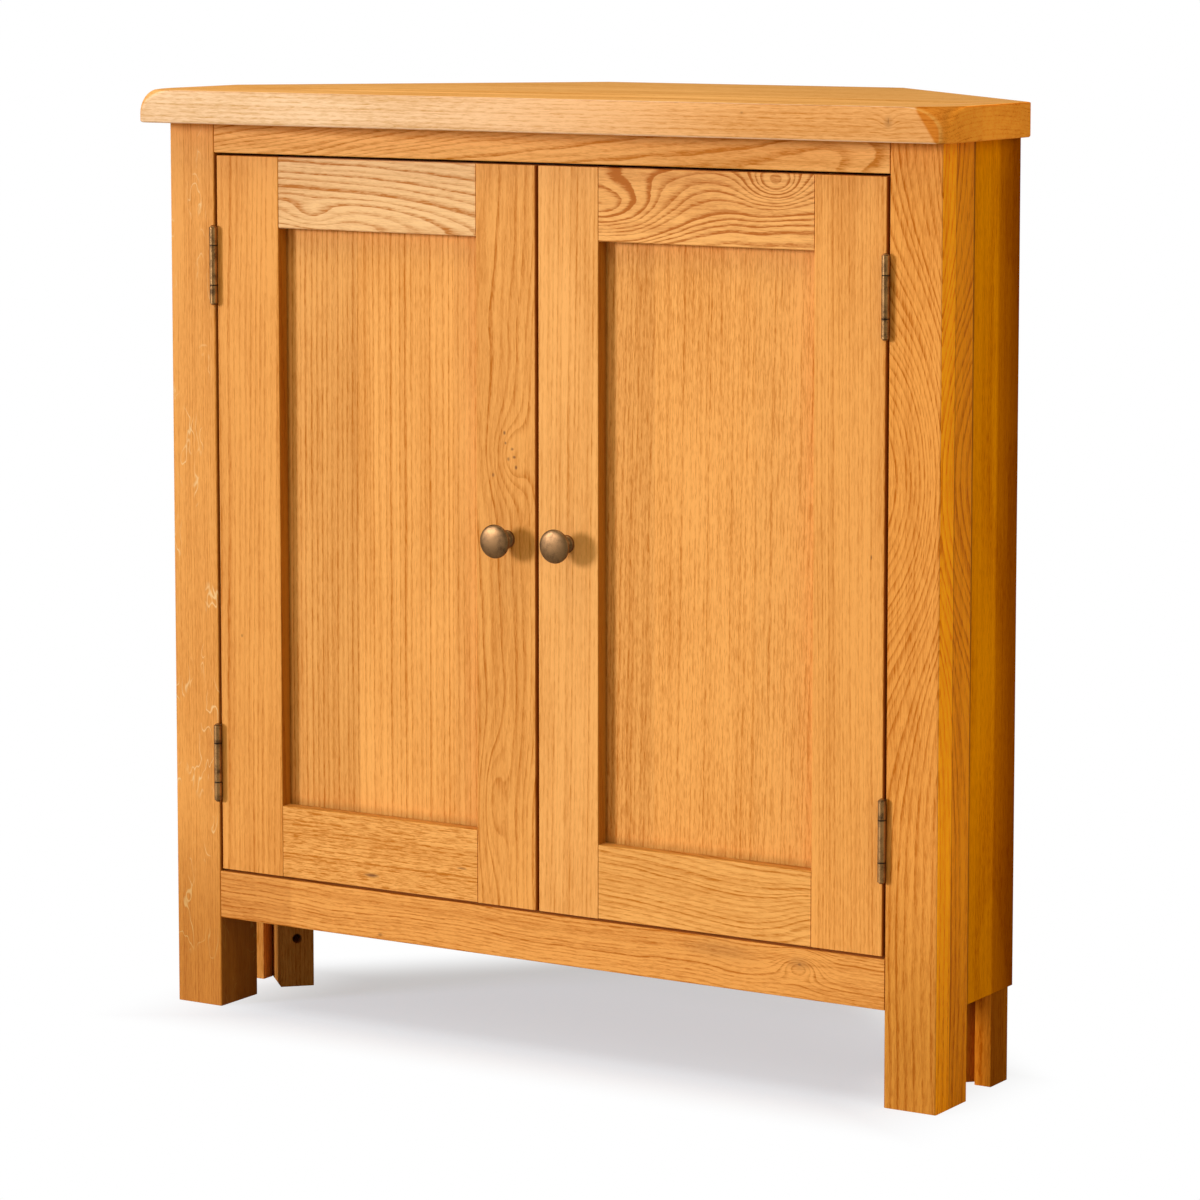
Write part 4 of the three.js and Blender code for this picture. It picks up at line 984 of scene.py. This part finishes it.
class CUPBOARD_OT_hinges(bpy.types.Operator):
    """Dresses the hinges and drives their screws"""

    bl_idname = "cupboard.hinges"
    bl_label = "Hinges"

    def execute(self, context):
        settings = context.scene.cupboard_metal
        joints = []
        for level in ("upper", "lower"):
            low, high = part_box(f"hinge_{level}_left_post_leaf")
            joints += [low[2] + share * (high[2] - low[2]) for share in KNUCKLE_ENDS]
        aged = metal("hinge_brass", settings.hinge, settings.patina, 0.55, joints=joints)
        for name, side in SIDES.items():
            for level in ("upper", "lower"):
                stem = f"hinge_{level}_{name}"
                for part in ("post_leaf", "door_leaf", "pin"):
                    softened_copy(f"{stem}_{part}", aged, HINGE_EDGE, "aged", HINGE_SMOOTH)
                for part, into in (("post_leaf", side), ("door_leaf", -side)):
                    self.screws(f"{stem}_{part}", into, aged)
        return {"FINISHED"}

    def screws(self, node, into, material):
        """Three countersunk heads set into the leaf's holes; into is 1 or -1, towards the wood."""
        low, high = map(np.array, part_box(node))
        middle, front = (low[2] + high[2]) / 2, high[1] - LEAF_WIDTH
        pin_x = np.mean([corner[0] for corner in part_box(node.rsplit("_", 2)[0] + "_pin")])
        vertices, faces = [], []
        for step, share in SCREW_PLACES:
            origin = (pin_x + into * LEAF_FACE, front + LEAF_WIDTH * share, middle + step * SCREW_SPACING)
            body, quads = revolve(SCREW_HEAD, SCREW_SEGMENTS, origin, (into, 0, 0))
            faces += [[i + len(vertices) for i in face] for face in quads]
            vertices += body.tolist()
        body = BODY_OF_NODE[node]
        new_piece(f"{node}_screws", vertices, faces, body, "hinge_metal", material, SCREW_SMOOTH)


FLOOR_HALF = 60.0
FLOOR_PALE, FLOOR_SEEN = (0.62, 0.62, 0.62, 1), (0.935, 0.965, 0.97, 1)
# Past these distances sideways, forwards and across the walls the camera sees a plain white floor
WHITE_SIDE, WHITE_FRONT, WHITE_WALL = 0.45, -0.28, 0.43
# Lamps as (name, kind, place, the point it is aimed at, looks)
LAMPS = (
    ("key", "SUN", (-0.8, -1.0, 0.21), (0, 0, 0), {"angle": math.radians(14), "color": (0.7, 0.73, 1.0)}),
    ("fill", "AREA", (-0.1, -0.6, 2.05), (0, -0.1, 0.8), {"size": 0.9}),
    ("side", "SUN", (1.0, -0.25, 0.25), (0, 0, 0), {"angle": math.radians(60)}),
)
CAMERA_PLACE = (2.112, -3.4905, 0.991)
CAMERA_YAW, CAMERA_PITCH = math.radians(31.7), math.radians(6.3)


class CUPBOARD_OT_studio(bpy.types.Operator):
    """Sets the pale floor, the soft light and the camera"""

    bl_idname = "cupboard.studio"
    bl_label = "Studio"

    def execute(self, context):
        settings = context.scene.cupboard_studio
        self.floor()
        self.world(settings.sky)
        self.lamps(settings)
        self.camera(settings)
        context.scene.view_settings.view_transform = "Standard"
        return {"FINISHED"}

    def floor(self):
        """A pale floor that is plain white for the camera outside the cupboard's footprint."""
        mesh = bpy.data.meshes.new("studio_floor")
        corners = [(FLOOR_HALF * x, FLOOR_HALF * y, 0) for x, y in ((-1, -1), (1, -1), (1, 1), (-1, 1))]
        mesh.from_pydata(corners, [], [(0, 1, 2, 3)])
        floor = link("studio_floor", mesh)
        material, net, shader = new_material("studio_white")
        shader.inputs["Roughness"].default_value = 0.9
        shader.inputs["Specular IOR Level"].default_value = 0.1
        seen = net.add("ShaderNodeLightPath").outputs["Is Camera Ray"]
        net.feed(shader.inputs["Base Color"], net.mix(seen, FLOOR_PALE, FLOOR_SEEN))
        x, y, _ = net.split(net.place())
        aside = net.maths("ABSOLUTE", x)
        sums = ((aside, WHITE_SIDE), (y, WHITE_FRONT), (net.plus(aside, y), WHITE_WALL))
        sideways, forwards, wall = (net.maths("DIVIDE", *terms) for terms in sums)
        reach = net.maths("MAXIMUM", net.maths("MAXIMUM", sideways, forwards), wall)
        far = net.remap(reach, 0.6, 1.0, 0.5, 1.0)
        glow = net.add("ShaderNodeEmission", {"Color": WHITE, "Strength": 1.0})
        blend = net.add("ShaderNodeMixShader", {0: net.times(far, seen)})
        net.feed(blend.inputs[1], shader.outputs[0])
        net.feed(blend.inputs[2], glow.outputs[0])
        net.feed(net.tree.nodes["Material Output"].inputs["Surface"], blend.outputs[0])
        mesh.materials.append(material)

    def world(self, strength):
        """Even room light; the camera sees plain white."""
        world = bpy.data.worlds.new("studio_room")
        bpy.context.scene.world = world
        world.use_nodes = True
        net = Net(world.node_tree)
        paths = net.add("ShaderNodeLightPath").outputs
        seen = net.maths("MAXIMUM", paths["Is Camera Ray"], paths["Is Transmission Ray"])
        background = world.node_tree.nodes["Background"].inputs
        background["Color"].default_value = WHITE
        net.feed(background["Strength"], net.remap(seen, 0.0, 1.0, strength, 1.0, "LINEAR"))

    def lamps(self, settings):
        """A low, soft key from the left, a weaker lamp above the front and a faint one from the right."""
        for name, kind, place, aim, looks in LAMPS:
            lamp = bpy.data.lights.new(f"{name}_light", kind)
            lamp.energy = getattr(settings, name)
            for key, value in looks.items():
                setattr(lamp, key, value)
            light = link(lamp.name, lamp)
            light.location = place
            light.rotation_euler = (Vector(aim) - Vector(place)).to_track_quat("-Z", "Y").to_euler()

    def camera(self, settings):
        """The photograph's viewpoint, from the right and above."""
        lens = bpy.data.cameras.new("camera")
        lens.lens = settings.lens
        lens.sensor_width = 36
        lens.shift_y = settings.shift
        lens.clip_start, lens.clip_end = 0.1, 200
        camera = link("camera", lens)
        level, drop = math.cos(CAMERA_PITCH), math.sin(CAMERA_PITCH)
        forward = Vector((-math.sin(CAMERA_YAW) * level, math.cos(CAMERA_YAW) * level, -drop))
        right = Vector((math.cos(CAMERA_YAW), math.sin(CAMERA_YAW), 0))
        turn = Matrix((right, right.cross(forward), -forward)).transposed()
        camera.matrix_world = Matrix.Translation(CAMERA_PLACE) @ turn.to_4x4()
        bpy.context.scene.camera = camera


class CUPBOARD_PT_panel(bpy.types.Panel):
    """Lists the cupboard's settings and steps"""

    bl_label = "Corner Cupboard"
    bl_idname = "CUPBOARD_PT_panel"
    bl_space_type = "VIEW_3D"
    bl_region_type = "UI"
    bl_category = "Cupboard"

    def draw(self, context):
        for name, kind in SETTINGS.items():
            box = self.layout.box()
            for label in kind.__annotations__:
                box.prop(getattr(context.scene, name), label)
        for operator in OPERATORS:
            self.layout.operator(operator.bl_idname)


OPERATORS = (
    CUPBOARD_OT_finishes, CUPBOARD_OT_top, CUPBOARD_OT_face_frame, CUPBOARD_OT_sides, CUPBOARD_OT_back,
    CUPBOARD_OT_inside, CUPBOARD_OT_doors, CUPBOARD_OT_knobs, CUPBOARD_OT_hinges, CUPBOARD_OT_studio,
)
SETTINGS = {
    "cupboard_oak": CupboardOakSettings,
    "cupboard_metal": CupboardMetalSettings,
    "cupboard_studio": CupboardStudioSettings,
}
CLASSES = (*SETTINGS.values(), *OPERATORS, CUPBOARD_PT_panel)


def register():
    """Registers the settings, operators and panel."""
    for item in CLASSES:
        bpy.utils.register_class(item)
    for name, kind in SETTINGS.items():
        setattr(bpy.types.Scene, name, bpy.props.PointerProperty(type=kind))


def unregister():
    """Removes them again."""
    for name in SETTINGS:
        delattr(bpy.types.Scene, name)
    for item in reversed(CLASSES):
        bpy.utils.unregister_class(item)


def main():
    """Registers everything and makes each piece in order."""
    register()
    bpy.ops.cupboard.finishes()
    bpy.ops.cupboard.top()
    bpy.ops.cupboard.face_frame()
    bpy.ops.cupboard.sides()
    bpy.ops.cupboard.back()
    bpy.ops.cupboard.inside()
    bpy.ops.cupboard.doors()
    bpy.ops.cupboard.knobs()
    bpy.ops.cupboard.hinges()
    bpy.ops.cupboard.studio()
    bpy.context.view_layer.update()


if __name__ == "__main__":
    main()
